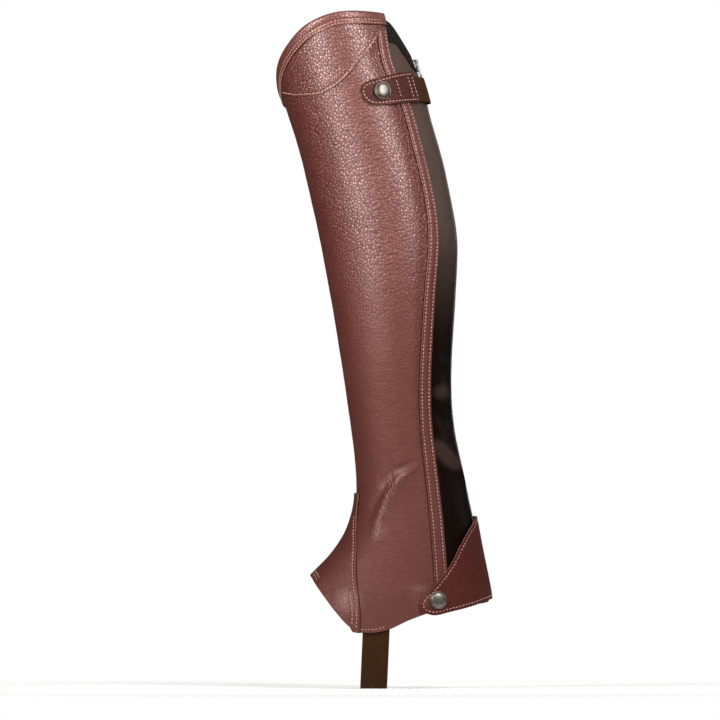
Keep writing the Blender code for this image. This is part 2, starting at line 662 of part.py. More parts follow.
def stirrup(finish):
    """The elastic loop under the foot, from inside one side of the hem to the other."""
    middle_turn, top_z = LOOP_TURN, LOOP_ROUTE[0].z
    lift = -SEAM_GAP - STIRRUP_WALL / 2
    half = abs(float(skin(np.array(middle_turn), np.array(top_z), lift)[1]))
    sole_z = LOOP_BOTTOM_Z + STIRRUP_WALL / 2
    route = [(half - row.inward, row.z) for row in LOOP_ROUTE]
    route += [(LOOP_SOLE_HALF, sole_z), (0.0, sole_z)]
    route = [(-y, z) for y, z in route] + list(reversed(route[:-1]))
    along = np.linspace(0, 1, len(route))
    fine = np.linspace(0, 1, 39)
    y = Curve(along, [point[0] for point in route])(fine)
    z = Curve(along, [point[1] for point in route])(fine)
    run = np.stack([np.gradient(y), np.gradient(z)], axis=-1)
    run /= np.linalg.norm(run, axis=-1, keepdims=True)
    out = np.stack([run[:, 1], -run[:, 0]], axis=-1) * STIRRUP_WALL / 2
    middle_x = float(surface(np.array(middle_turn), np.array(top_z))[0])
    rings = []
    for i in range(len(fine)):
        # Above the hem the elastic keeps the curve of the leather that it lies against.
        hug = np.clip((z[i] - LOOP_HUG_START_Z) / LOOP_HUG_HEIGHT, 0, 1) * np.sign(y[i])
        at_z = max(z[i], LOWEST_LEATHER_Z)
        level = HALF_WIDTH(at_z)
        reach = (BACK(at_z) - FRONT(at_z)) / 2
        inner, outer = [], []
        for share in (-0.5, 0.0, 0.5):
            x = middle_x + share * STIRRUP_WIDTH + LOOP_LEAN * (z[i] - top_z)
            cosine = (x - (BACK(at_z) + FRONT(at_z)) / 2) / reach
            bowed = level * math.sqrt(1 - cosine**2) * (1 + EGG(at_z) * cosine)
            shift = hug * (bowed - level)
            inner.append((x, y[i] + shift - out[i, 0], z[i] - out[i, 1]))
            outer.append((x, y[i] + shift + out[i, 0], z[i] + out[i, 1]))
        rings.append(inner + outer[::-1])
    return sweep("stirrup", rings, finish)


def frame_at(turn, z, lift):
    """A matrix whose X axis leaves the surface, whose Z axis runs up it, at a place."""
    turn, z = np.array(float(turn)), np.array(float(z))
    out = Vector(normals(turn, z))
    _, by_z = slopes(turn, z)
    side = out.cross(Vector(by_z)).normalized() * -1
    up = out.cross(side).normalized()
    place = Vector(skin(turn, z, lift))
    return Matrix.Translation(place) @ Matrix((out, side, up)).transposed().to_4x4()


def turned(name, profile, frame, finish):
    """A round solid on the frame's X axis, from rows of radius and height."""
    points = [(profile[0][1], 0.0, 0.0)]
    for radius, height in profile[1:-1]:
        for i in range(SNAP_SIDES):
            angle = 2 * math.pi * i / SNAP_SIDES
            points.append((height, radius * math.cos(angle), radius * math.sin(angle)))
    points.append((profile[-1][1], 0.0, 0.0))
    rings = len(profile) - 2
    faces = []
    for i in range(SNAP_SIDES):
        j = (i + 1) % SNAP_SIDES
        faces.append((0, 1 + j, 1 + i))
        for ring in range(rings - 1):
            a, b = 1 + ring * SNAP_SIDES, 1 + (ring + 1) * SNAP_SIDES
            faces.append((a + i, a + j, b + j, b + i))
        a = 1 + (rings - 1) * SNAP_SIDES
        faces.append((a + i, a + j, len(points) - 1))
    made = add_object(name, points, faces, finish, sharp=35)
    made.matrix_world = frame
    return made


def snap_cap(name, place, lift, finish):
    radius, height = SNAP_RADIUS, SNAP_HEIGHT
    profile = [(0, 0), (radius * 0.92, 0), (radius, height * 0.14), (radius, height * 0.26)]
    for angle in (24, 40, 56, 74):
        bend = math.radians(angle)
        profile.append((radius * math.cos(bend) ** 0.85, height * (0.26 + 0.74 * math.sin(bend))))
    profile.append((0, height))
    return turned(name, profile, frame_at(*place, lift + SEAM_GAP), finish)


def snap_post(name, place, finish):
    """The rivet head of a snap, on the inside of the main panel."""
    radius, height = POST_RADIUS, POST_HEIGHT
    profile = [(0, 0), (radius * 0.8, 0), (radius, height * 0.5), (radius, height), (0, height)]
    bowed_gap = radius * radius / 2 / INNER_RADIUS
    lift = -SEAM_GAP - bowed_gap - height
    return turned(name, profile, frame_at(*place, lift), finish)


def box(name, low, high):
    mesh = bpy.data.meshes.new(name)
    made = bpy.data.objects.new(name, mesh)
    solid = bmesh.new()
    bmesh.ops.create_cube(solid, size=1.0)
    for vertex in solid.verts:
        for axis in range(3):
            middle, size = (low[axis] + high[axis]) / 2, high[axis] - low[axis]
            vertex.co[axis] = middle + vertex.co[axis] * size
    solid.to_mesh(mesh)
    solid.free()
    bpy.context.scene.collection.objects.link(made)
    return made


def boolean(target, tool, operation):
    change = target.modifiers.new(tool.name, "BOOLEAN")
    change.object = tool
    change.operation = operation
    tool.hide_render = True
    tool.display_type = "WIRE"


def zip_slider(finish):
    """The slider's plate on the teeth, with the bridge that holds the pull."""
    frame = frame_at(ZIP(SLIDER_HEIGHT_ON_LEG), SLIDER_HEIGHT_ON_LEG, CHAIN_HEIGHT + SEAM_GAP)
    half_width, half_length = SLIDER_WIDTH / 2, SLIDER_LENGTH / 2
    plate = box("zip_slider", (0, -half_width, -half_length),
                (SLIDER_PLATE, half_width, half_length))
    narrow = bmesh.new()
    narrow.from_mesh(plate.data)
    upright = [edge for edge in narrow.edges
               if abs(edge.verts[0].co.x - edge.verts[1].co.x) > SLIDER_PLATE / 2]
    bmesh.ops.bevel(narrow, geom=upright, offset=0.0018, segments=3, affect="EDGES")
    narrow.to_mesh(plate.data)
    narrow.free()
    room = PULL_WIRE + 2 * SEAM_GAP
    roof = SLIDER_PLATE + room + BRIDGE_WALL
    reach = room / 2 + 0.0003
    low, high = BRIDGE_RISE - reach, BRIDGE_RISE + reach
    bridge = box("bridge", (SLIDER_PLATE / 2, -BRIDGE_WIDTH / 2, low - BRIDGE_WALL),
                 (roof, BRIDGE_WIDTH / 2, high + BRIDGE_WALL))
    eye = box("bridge_eye", (SLIDER_PLATE, -BRIDGE_WIDTH, low),
              (SLIDER_PLATE + room, BRIDGE_WIDTH, high))
    for made in (bridge, eye):
        made.parent = plate
    boolean(plate, bridge, "UNION")
    boolean(plate, eye, "DIFFERENCE")
    plate.matrix_world = frame
    plate.data.materials.append(finish)
    return frame


def zip_pull(slider_frame, finish):
    """The wire loop that hangs from the bridge and ends just above the strap."""
    radius = PULL_WIRE / 2
    pivot_out = SLIDER_PLATE + PULL_REST_GAP + radius
    half, corner = PULL_WIDTH / 2, 0.0016
    line = []
    for centre_y, centre_z, start in (
        (half - corner, -corner, 0), (-half + corner, -corner, 90),
        (-half + corner, -PULL_LENGTH + corner, 180), (half - corner, -PULL_LENGTH + corner, 270),
    ):
        for step in range(4):
            angle = math.radians(start + 30 * step)
            line.append((0.0, centre_y + corner * math.cos(angle),
                         centre_z + corner * math.sin(angle)))
    data = bpy.data.curves.new("zip_pull", "CURVE")
    data.dimensions = "3D"
    data.bevel_depth = radius
    data.bevel_resolution = 2
    spline = data.splines.new("POLY")
    spline.points.add(len(line) - 1)
    for point, place in zip(spline.points, line):
        point.co = (*place, 1.0)
    spline.use_cyclic_u = True
    data.materials.append(finish)
    made = bpy.data.objects.new("zip_pull", data)
    bpy.context.scene.collection.objects.link(made)
    # The loop turns about its own top bar, which is the joint's axis.
    made.matrix_world = slider_frame @ Matrix.Translation((pivot_out, 0, BRIDGE_RISE))
    return made


def build():
    for old in list(bpy.data.objects):
        bpy.data.objects.remove(old)
    leather = material("chestnut_leather", CHESTNUT, 0.50)
    trim = material("chestnut_edge", CHESTNUT_EDGE, 0.48)
    cloth = material("umber_stretch", UMBER_STRETCH, 0.62)
    dark = material("dark_trim", DARK_TRIM, 0.70)
    elastic = material("tan_elastic", TAN_ELASTIC, 0.75)
    silver = material("old_silver", OLD_SILVER, 0.38, 1.0)
    nickel = material("bright_nickel", BRIGHT_NICKEL, 0.25, 1.0)

    main_panel(leather)
    top_yoke(leather)
    top_binding(trim)
    edge_strip(trim)
    stretch_panel(cloth)
    stretch_hem(dark)
    zip_tape("zip_tape_outer", 1, dark)
    zip_tape("zip_tape_inner", -1, dark)
    zip_chain(nickel)
    instep_gusset(leather)
    loose_band("heel_flap", FLAP_SPAN, FLAP_HEM, FLAP_TOP, FLAP_STANDS, FLAP_LEATHER, (26, 7),
               leather)
    loose_band("strap_tab", TAB_SPAN, TAB_HEM, TAB_TOP, TAB_STANDS, TAB_LEATHER, (13, 5), leather)
    loose_band("strap_elastic", STRAP_SPAN, STRAP_HEM, STRAP_TOP, STRAP_STANDS, STRETCH, (21, 3),
               elastic)
    stirrup(elastic)
    on_tab = float(stands_off(TAB_STANDS)(UPPER_SNAP.turn)) + TAB_LEATHER + TAB_BOW
    on_flap = float(stands_off(FLAP_STANDS)(LOWER_SNAP.turn)) + FLAP_LEATHER
    snap_cap("snap_upper", UPPER_SNAP, on_tab, silver)
    snap_cap("snap_lower", LOWER_SNAP, on_flap, silver)
    for name, place in (("post_upper", UPPER_SNAP), ("post_lower", LOWER_SNAP)):
        snap_post(name, place, silver)
    slider_frame = zip_slider(nickel)
    zip_pull(slider_frame, nickel)


build()
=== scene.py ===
"""The looks of a leather half chap: grained leather, stretch cloth, sewing, zip and snaps.

The pieces lie on the same leg surface as the part's solids. A place on it is a turn in degrees
from the middle of the back, 90 on the outer side and 180 at the shin, and a height. A lift is a
distance off that surface. Lengths are in metres.
"""

import math
import random
from collections import namedtuple

import bmesh
import bpy
import numpy as np
from mathutils import Matrix, Vector, kdtree


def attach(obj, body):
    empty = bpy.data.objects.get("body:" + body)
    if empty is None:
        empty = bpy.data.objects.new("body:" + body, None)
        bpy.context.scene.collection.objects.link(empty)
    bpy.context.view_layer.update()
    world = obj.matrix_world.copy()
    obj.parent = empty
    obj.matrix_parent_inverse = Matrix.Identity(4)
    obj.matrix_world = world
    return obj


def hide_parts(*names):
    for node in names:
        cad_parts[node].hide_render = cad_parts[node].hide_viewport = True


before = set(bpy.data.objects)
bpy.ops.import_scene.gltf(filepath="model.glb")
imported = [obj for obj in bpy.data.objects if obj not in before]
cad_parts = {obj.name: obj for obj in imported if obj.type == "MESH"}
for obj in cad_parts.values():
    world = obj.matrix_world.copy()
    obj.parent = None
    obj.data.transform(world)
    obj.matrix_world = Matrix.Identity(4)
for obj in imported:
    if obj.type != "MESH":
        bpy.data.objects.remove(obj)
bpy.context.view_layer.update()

# Thickness of the materials, and the gap at a seam
LEATHER = 0.0018
OVERLAY = 0.0013
STRETCH = 0.0012
TAPE = 0.0010
FLAP_LEATHER = 0.0016
TAB_LEATHER = 0.0015
SEAM_GAP = 0.0003
BUTT_GAP = 0.0006
BIND_GAP = 0.0006
ON_LEATHER = LEATHER + SEAM_GAP
ON_STRETCH = STRETCH + SEAM_GAP
CLOSE = 0.0001

# Widths of the narrow pieces
STRIP_WIDTH = 0.0086
STRIP_OVERHANG = 0.0012
BINDING_DEPTH = 0.0090
BINDING_WALL = 0.0014
BINDING_RETURN = 0.0045
BINDING_LEAN = 250.0
ZIP_OPENING = 0.0100
CHAIN_WIDTH = 0.0060
CHAIN_HEIGHT = 0.0013
TAPE_REACH = 0.0130
STIRRUP_WIDTH = 0.0220
STIRRUP_WALL = 0.0014

# Zip slider, pull and snaps
SLIDER_HEIGHT_ON_LEG = 0.1424
SLIDER_LENGTH = 0.0095
SLIDER_WIDTH = 0.0072
SLIDER_PLATE = 0.0015
BRIDGE_WIDTH = 0.0018
BRIDGE_WALL = 0.0010
BRIDGE_RISE = 0.0024
PULL_LENGTH = 0.0126
PULL_WIDTH = 0.0084
PULL_WIRE = 0.0012
PULL_REST_GAP = 0.0003
SNAP_RADIUS = 0.0073
SNAP_HEIGHT = 0.0034
TAB_BOW = 0.0005

# Sewing
STITCH_PITCH = 0.0030
STITCH_LENGTH = 0.0019
THREAD_RADIUS = 0.00044
GROOVE_DEPTH = 0.00040
GROOVE_WIDTH = 0.00080

# The leg surface, as in the part
Section = namedtuple("Section", "z front back half_width egg")
SECTIONS = (
    Section(0.2050, -0.1072, -0.0060, 0.0600, 0.03),
    Section(0.1722, -0.1004, 0.0074, 0.0600, 0.04),
    Section(0.1460, -0.0950, 0.0168, 0.0590, 0.05),
    Section(0.1214, -0.0886, 0.0250, 0.0580, 0.06),
    Section(0.0984, -0.0812, 0.0311, 0.0567, 0.07),
    Section(0.0656, -0.0714, 0.0404, 0.0550, 0.08),
    Section(0.0328, -0.0637, 0.0475, 0.0536, 0.09),
    Section(0.0000, -0.0565, 0.0524, 0.0520, 0.09),
    Section(-0.0328, -0.0503, 0.0519, 0.0498, 0.09),
    Section(-0.0656, -0.0445, 0.0501, 0.0468, 0.08),
    Section(-0.0984, -0.0392, 0.0483, 0.0437, 0.06),
    Section(-0.1312, -0.0343, 0.0483, 0.0408, 0.03),
    Section(-0.1640, -0.0297, 0.0521, 0.0390, 0.00),
    Section(-0.1968, -0.0267, 0.0592, 0.0384, 0.00),
    Section(-0.2132, -0.0269, 0.0625, 0.0387, 0.01),
    Section(-0.2296, -0.0303, 0.0661, 0.0396, 0.03),
    Section(-0.2460, -0.0375, 0.0692, 0.0408, 0.05),
    Section(-0.2624, -0.0494, 0.0724, 0.0420, 0.08),
    Section(-0.2788, -0.0653, 0.0758, 0.0432, 0.10),
    Section(-0.2952, -0.0795, 0.0786, 0.0444, 0.12),
    Section(-0.3321, -0.1040, 0.0800, 0.0456, 0.14),
)

# The soft folds of the part's solids. Rows that share a name follow one fold.
Crease = namedtuple("Crease", "fold turn z lift width")
CREASES = (
    Crease("instep ridge", 84, -0.1850, 0.0000, 0.0080),
    Crease("instep ridge", 101, -0.1940, 0.0013, 0.0085),
    Crease("instep ridge", 117, -0.2091, 0.0017, 0.0090),
    Crease("instep ridge", 126, -0.2296, 0.0015, 0.0100),
    Crease("instep ridge", 121, -0.2480, 0.0007, 0.0100),
    Crease("instep ridge", 115, -0.2650, 0.0000, 0.0100),
    Crease("ankle hollow", 168, -0.1960, 0.0000, 0.0080),
    Crease("ankle hollow", 145, -0.1900, -0.0008, 0.0090),
    Crease("ankle hollow", 118, -0.1850, -0.0008, 0.0090),
    Crease("ankle hollow", 92, -0.1800, 0.0000, 0.0090),
    Crease("inner ridge", 272, -0.1850, 0.0000, 0.0080),
    Crease("inner ridge", 246, -0.2050, 0.0016, 0.0090),
    Crease("inner ridge", 236, -0.2380, 0.0010, 0.0100),
    Crease("inner ridge", 242, -0.2600, 0.0000, 0.0100),
    Crease("stretch oval", 44, -0.1230, 0.0002, 0.0090),
    Crease("stretch oval", 30, -0.1240, 0.0016, 0.0090),
    Crease("stretch oval", 16, -0.1210, 0.0004, 0.0090),
    Crease("stretch hollow", 48, -0.1440, -0.0004, 0.0090),
    Crease("stretch hollow", 28, -0.1500, -0.0010, 0.0090),
    Crease("stretch ridge", 50, -0.1650, 0.0002, 0.0080),
    Crease("stretch ridge", 36, -0.1760, 0.0018, 0.0085),
    Crease("stretch ridge", 24, -0.1870, 0.0018, 0.0085),
    Crease("stretch ridge", 10, -0.1960, 0.0004, 0.0085),
    Crease("calf bulge", 34, 0.0040, 0.0000, 0.0120),
    Crease("calf bulge", 28, -0.0140, 0.0014, 0.0120),
    Crease("calf bulge", 26, -0.0330, 0.0004, 0.0120),
)

# Sharper creases of the skin on top of those folds
SKIN_CREASES = (
    Crease("ridge crest", 80, -0.1850, 0.0004, 0.0016),
    Crease("ridge crest", 101, -0.1960, 0.0018, 0.0026),
    Crease("ridge crest", 116, -0.2110, 0.0020, 0.0036),
    Crease("ridge crest", 124, -0.2300, 0.0014, 0.0050),
    Crease("ridge crest", 121, -0.2520, 0.0002, 0.0064),
    Crease("ridge valley", 84, -0.1812, -0.0002, 0.0020),
    Crease("ridge valley", 104, -0.1888, -0.0018, 0.0032),
    Crease("ridge valley", 119, -0.1995, -0.0020, 0.0042),
    Crease("ridge valley", 133, -0.2170, -0.0010, 0.0056),
    Crease("ridge valley", 138, -0.2370, 0.0000, 0.0060),
    Crease("tip rise", 92, -0.2850, 0.0000, 0.0055),
    Crease("tip rise", 82, -0.2875, 0.0010, 0.0055),
    Crease("tip rise", 72, -0.2900, 0.0004, 0.0055),
    Crease("cloth oval", 40, -0.1230, 0.0000, 0.0060),
    Crease("cloth oval", 30, -0.1235, 0.0016, 0.0060),
    Crease("cloth oval", 18, -0.1210, 0.0000, 0.0060),
    Crease("cloth hollow", 46, -0.1420, -0.0004, 0.0065),
    Crease("cloth hollow", 30, -0.1500, -0.0014, 0.0065),
    Crease("cloth hollow", 16, -0.1600, -0.0006, 0.0065),
    Crease("cloth ridge", 50, -0.1660, 0.0003, 0.0045),
    Crease("cloth ridge", 36, -0.1775, 0.0014, 0.0050),
    Crease("cloth ridge", 22, -0.1880, 0.0014, 0.0050),
    Crease("cloth ridge", 10, -0.1960, 0.0003, 0.0045),
    Crease("cloth dimple", 36, 0.0560, 0.0000, 0.0050),
    Crease("cloth dimple", 30, 0.0505, -0.0012, 0.0055),
    Crease("cloth dimple", 24, 0.0440, 0.0000, 0.0050),
    Crease("cloth slant", 40, -0.0100, 0.0000, 0.0050),
    Crease("cloth slant", 30, -0.0260, -0.0012, 0.0055),
    Crease("cloth slant", 20, -0.0470, 0.0000, 0.0050),
)

# Places painted lighter as highlights, seen from the outer side; on the hide the grain there is also
# bolder and more polished
HighlightSpot = namedtuple("HighlightSpot", "x z reach")
HIDE_HIGHLIGHT_SPOTS = (
    HighlightSpot(0.0070, -0.1950, 0.012), HighlightSpot(-0.0010, -0.2050, 0.014), HighlightSpot(-0.008, -0.2190, 0.013),
    HighlightSpot(-0.0130, -0.2360, 0.013), HighlightSpot(0.0240, -0.2900, 0.013), HighlightSpot(-0.034, -0.2960, 0.015),
    HighlightSpot(0.0310, -0.2950, 0.009),
)
CLOTH_HIGHLIGHT_SPOTS = (
    HighlightSpot(0.0418, -0.1246, 0.0095), HighlightSpot(0.0385, -0.1690, 0.0085), HighlightSpot(0.0430, -0.1745, 0.0095),
    HighlightSpot(0.0480, -0.1795, 0.0095), HighlightSpot(0.0530, -0.1835, 0.0085),
)

# Outlines, as turn and height
Place = namedtuple("Place", "turn z")
LEATHER_TOP = (
    Place(30, 0.1818), Place(37, 0.1830), Place(50, 0.1843), Place(64, 0.1852),
    Place(81, 0.1848), Place(90, 0.1832), Place(99, 0.1804), Place(109, 0.1764),
    Place(120, 0.1703),
    Place(133, 0.1610), Place(146, 0.1512), Place(158, 0.1414), Place(168, 0.1320),
    Place(180, 0.1224), Place(192, 0.1184), Place(210, 0.1172), Place(240, 0.1206),
    Place(270, 0.1296), Place(300, 0.1396), Place(320, 0.1444), Place(340, 0.1456),
    Place(364, 0.1452),
)
LEATHER_HEM_OUTER = (
    Place(40, -0.2960), Place(55, -0.3010), Place(68, -0.3067), Place(76.5, -0.3116),
    Place(87.5, -0.3198), Place(95, -0.3218), Place(103.5, -0.3218), Place(106.5, -0.3190),
    Place(110.5, -0.3075), Place(120.5, -0.2870), Place(129.5, -0.2747), Place(142.5, -0.2624),
    Place(155.5, -0.2526), Place(180, -0.2444),
)
LEATHER_HEM_BY_ZIP = (Place(316, -0.3010), Place(362, -0.2960))
YOKE_HEM = (
    Place(44, 0.1730), Place(54, 0.1656), Place(65.5, 0.1558), Place(77, 0.1460),
    Place(90, 0.1345), Place(103, 0.1255), Place(120, 0.1189), Place(138, 0.1181),
    Place(159, 0.1197), Place(172, 0.1222),
)
STRETCH_TOP = (
    Place(0, 0.1440), Place(6, 0.1456), Place(12, 0.1500), Place(20, 0.1592),
    Place(25, 0.1662), Place(30, 0.1736), Place(36, 0.1785), Place(42, 0.1806),
)
STRETCH_HEM_LINE = (
    Place(0, 0.1340), Place(8, 0.1356), Place(13, 0.1376), Place(18.6, 0.1406),
    Place(25, 0.1488), Place(30, 0.1550), Place(34, 0.1598), Place(46, 0.1612),
)
GUSSET_HEM_OUTER = (
    Place(98, -0.3228), Place(101, -0.3223), Place(108, -0.3165), Place(119.5, -0.3050),
    Place(134, -0.2927), Place(150, -0.2837), Place(165, -0.2788), Place(180, -0.2772),
)
FLAP_TOP = (
    Place(-56, -0.2330), Place(-35, -0.2296), Place(-12, -0.2272), Place(0, -0.2272),
    Place(10, -0.2284), Place(20, -0.2324), Place(32, -0.2386), Place(45, -0.2509),
    Place(55.6, -0.2681), Place(61.6, -0.2780), Place(66.4, -0.2862), Place(69.6, -0.2902),
    Place(71.4, -0.2936), Place(72.1, -0.2966),
)
FLAP_HEM = (
    Place(-56, -0.2990), Place(-30, -0.2965), Place(0, -0.2944), Place(20, -0.2962),
    Place(33, -0.2993), Place(52.7, -0.3046), Place(62.5, -0.3074), Place(67.4, -0.3060),
    Place(70.4, -0.3032), Place(71.7, -0.3002), Place(72.1, -0.2982),
)
TAB_TOP = (
    Place(31.5, 0.1366), Place(46, 0.1357), Place(54, 0.1345), Place(66, 0.1320),
    Place(74.5, 0.1298), Place(79.5, 0.1272), Place(82.4, 0.1238), Place(83.4, 0.1208),
)
TAB_HEM = (
    Place(31.5, 0.1117), Place(46, 0.1113), Place(66, 0.1100), Place(74.5, 0.1096),
    Place(79.5, 0.1114), Place(82.4, 0.1148), Place(83.4, 0.1178),
)
STRAP_TOP = (Place(-48, 0.1290), Place(0, 0.1311), Place(30, 0.1326), Place(46, 0.1330))
STRAP_HEM = (Place(-48, 0.1090), Place(0, 0.1107), Place(30, 0.1123), Place(46, 0.1127))
Seam = namedtuple("Seam", "z x")
BACK_SEAM = (
    Seam(0.1886, -0.0094), Seam(0.1615, -0.0053), Seam(0.1345, 0.0020), Seam(0.1107, 0.0127),
    Seam(0.0730, 0.0235), Seam(0.0525, 0.0287), Seam(0.0205, 0.0347), Seam(0.0000, 0.0361),
    Seam(-0.0344, 0.0341), Seam(-0.0738, 0.0317), Seam(-0.1246, 0.0300), Seam(-0.1624, 0.0321),
    Seam(-0.2058, 0.0375), Seam(-0.2378, 0.0410), Seam(-0.2681, 0.0435), Seam(-0.3140, 0.0480),
)
Line = namedtuple("Line", "z turn")
ZIP_LINE = (
    Line(0.160, 8.0), Line(0.110, 5.0), Line(0.070, 2.5), Line(0.030, 3.0), Line(0.000, 4.5),
    Line(-0.050, 3.5), Line(-0.100, 2.5), Line(-0.200, 2.0), Line(-0.300, 1.0),
)
GUSSET_SEAM = (
    Line(-0.2040, 160.5), Line(-0.2214, 160.0), Line(-0.2378, 149.8), Line(-0.2501, 139.0),
    Line(-0.2624, 129.6), Line(-0.2870, 112.7), Line(-0.3075, 104.2), Line(-0.3225, 100.7),
)
FLAP_SPAN = (-54, 72.1)
TAB_SPAN = (31.5, 83.4)
STRAP_SPAN = (-46, 40)
Stand = namedtuple("Stand", "turn lift")
FLAP_STANDS = (
    Stand(-56, ON_LEATHER), Stand(-34, 0.0023), Stand(-14, 0.0032), Stand(0, 0.0034),
    Stand(20, 0.0035), Stand(45, 0.0039), Stand(68, 0.0038), Stand(73, 0.0032),
)
STRAP_STANDS = (
    Stand(-48, ON_LEATHER), Stand(-32, 0.0022), Stand(-18, 0.0030), Stand(-8, 0.0037),
    Stand(4, 0.0041), Stand(12, 0.0040), Stand(20, 0.0036), Stand(32, 0.0031),
    Stand(46, 0.0025),
)
TAB_STANDS = (
    Stand(31, 0.0048), Stand(38, 0.0046), Stand(44, 0.0043), Stand(52, 0.0041),
    Stand(62, 0.0039), Stand(69, 0.0028), Stand(76, 0.0023), Stand(84, 0.0022),
)
Loop = namedtuple("Loop", "inward z")
LOOP_ROUTE = (
    Loop(0.0000, -0.3120), Loop(0.0000, -0.3220), Loop(0.0008, -0.3340), Loop(0.0030, -0.3480),
    Loop(0.0070, -0.3600), Loop(0.0125, -0.3655),
)
LOOP_SOLE_HALF = 0.0240
LOOP_TURN = 94.0
LOOP_LEAN = 0.045
LOOP_HUG_START_Z = -0.3450
LOOP_HUG_HEIGHT = 0.0240
LOWEST_LEATHER_Z = -0.3230

# Other places
TOP_CORNER_Z = 0.1840
TOP_ZIP_Z = 0.1490
YOKE_END_TURN = 164.0
STRIP_TOP_Z = 0.1732
STRIP_BOTTOM_Z = -0.2880
STRETCH_BOTTOM_Z = -0.2860
GUSSET_TOP_Z = -0.2075
ZIP_TOP_Z = 0.1452
ZIP_BOTTOM_Z = -0.2820
LOOP_BOTTOM_Z = -0.3674
FLOOR_Z = -0.3677
LIT_HEIGHT = 0.05
UPPER_SNAP = Place(66.3, 0.1215)
LOWER_SNAP = Place(61.6, -0.2952)

# Camera: the picture's middle, its width in metres, and a long lens far away
VIEW_MIDDLE = (-0.02542, 0.0, -0.0984)
VIEW_WIDTH = 0.5904
VIEW_DISTANCE = 20.0


class Curve:
    """A smooth line through rows of place and value. One that turns corners never overshoots."""

    def __init__(self, at, value, corners=False):
        order = np.argsort(at)
        self.at = np.asarray(at, float)[order]
        self.value = np.asarray(value, float)[order]
        step = np.diff(self.at)
        rise = np.diff(self.value) / step
        self.slope = self.eased(rise) if corners else self.even(step, rise)

    @staticmethod
    def eased(rise):
        slope = np.concatenate([rise[:1], np.zeros(len(rise) - 1), rise[-1:]])
        for i in range(1, len(rise)):
            if rise[i - 1] * rise[i] > 0:
                slope[i] = 2 * rise[i - 1] * rise[i] / (rise[i - 1] + rise[i])
        return slope

    @staticmethod
    def even(step, rise):
        count = len(step) + 1
        matrix = np.zeros((count, count))
        right = np.zeros(count)
        matrix[0, :2] = 2, 1
        matrix[-1, -2:] = 1, 2
        right[0], right[-1] = 3 * rise[0], 3 * rise[-1]
        for i in range(1, count - 1):
            matrix[i, i - 1] = 1 / step[i - 1]
            matrix[i, i] = 2 / step[i - 1] + 2 / step[i]
            matrix[i, i + 1] = 1 / step[i]
            right[i] = 3 * (rise[i - 1] / step[i - 1] + rise[i] / step[i])
        return np.linalg.solve(matrix, right)

    def __call__(self, at):
        at = np.clip(np.asarray(at, float), self.at[0], self.at[-1])
        i = np.clip(np.searchsorted(self.at, at) - 1, 0, len(self.at) - 2)
        step = self.at[i + 1] - self.at[i]
        t = (at - self.at[i]) / step
        start = self.value[i] * (2 * t**3 - 3 * t**2 + 1)
        start = start + self.slope[i] * step * (t**3 - 2 * t**2 + t)
        end = self.value[i + 1] * (3 * t**2 - 2 * t**3)
        return start + end + self.slope[i + 1] * step * (t**3 - t**2)


def column(rows, name):
    return [getattr(row, name) for row in rows]


def outline(places, corners=True):
    return Curve(column(places, "turn"), column(places, "z"), corners)


def mirrored(places):
    inner = [Place(360 - place.turn, place.z) for place in places if place.turn < 180]
    return tuple(places) + tuple(reversed(inner))


FRONT = Curve(column(SECTIONS, "z"), column(SECTIONS, "front"))
BACK = Curve(column(SECTIONS, "z"), column(SECTIONS, "back"))
HALF_WIDTH = Curve(column(SECTIONS, "z"), column(SECTIONS, "half_width"))
EGG = Curve(column(SECTIONS, "z"), column(SECTIONS, "egg"))
ZIP = Curve(column(ZIP_LINE, "z"), column(ZIP_LINE, "turn"))
GUSSET_SIDE = Curve(column(GUSSET_SEAM, "z"), column(GUSSET_SEAM, "turn"), corners=True)


def seam_turn(row):
    middle = (FRONT(row.z) + BACK(row.z)) / 2
    reach = (BACK(row.z) - FRONT(row.z)) / 2
    return math.degrees(math.acos((row.x - middle) / reach))


SEAM = Curve(column(BACK_SEAM, "z"), [seam_turn(row) for row in BACK_SEAM])


def surface(turn, z):
    angle = np.radians(turn)
    middle = (FRONT(z) + BACK(z)) / 2
    reach = (BACK(z) - FRONT(z)) / 2
    x = middle + reach * np.cos(angle)
    y = -HALF_WIDTH(z) * np.sin(angle) * (1 + EGG(z) * np.cos(angle))
    return np.stack([x, y, np.broadcast_to(z, np.shape(x))], axis=-1)


def slopes(turn, z, turn_step=0.5, z_step=0.0005):
    """How a point moves for one degree of turn, and for one metre of height."""
    by_turn = (surface(turn + turn_step, z) - surface(turn - turn_step, z)) / (2 * turn_step)
    by_z = (surface(turn, z + z_step) - surface(turn, z - z_step)) / (2 * z_step)
    return by_turn, by_z


def unit(vectors):
    return vectors / np.linalg.norm(vectors, axis=-1, keepdims=True)


def normals(turn, z):
    by_turn, by_z = slopes(turn, z)
    return unit(np.cross(by_z, by_turn))


def degrees_for(length, z):
    """The turn that a length round the leg takes up at this height."""
    radius = (HALF_WIDTH(z) + (BACK(z) - FRONT(z)) / 2) / 2
    return np.degrees(length / radius)


METRES_PER_DEGREE = math.radians(1) * 0.048


def near_line(turn, z, start, end):
    """How far places are from a straight line on the surface, and how far along it."""
    first = np.array([start[0] * METRES_PER_DEGREE, start[1]])
    run = np.array([end[0] * METRES_PER_DEGREE, end[1]]) - first
    away = np.stack([turn * METRES_PER_DEGREE, z], axis=-1) - first
    along = np.clip(away @ run / (run @ run), 0, 1)
    return np.linalg.norm(away - along[..., None] * run, axis=-1), along


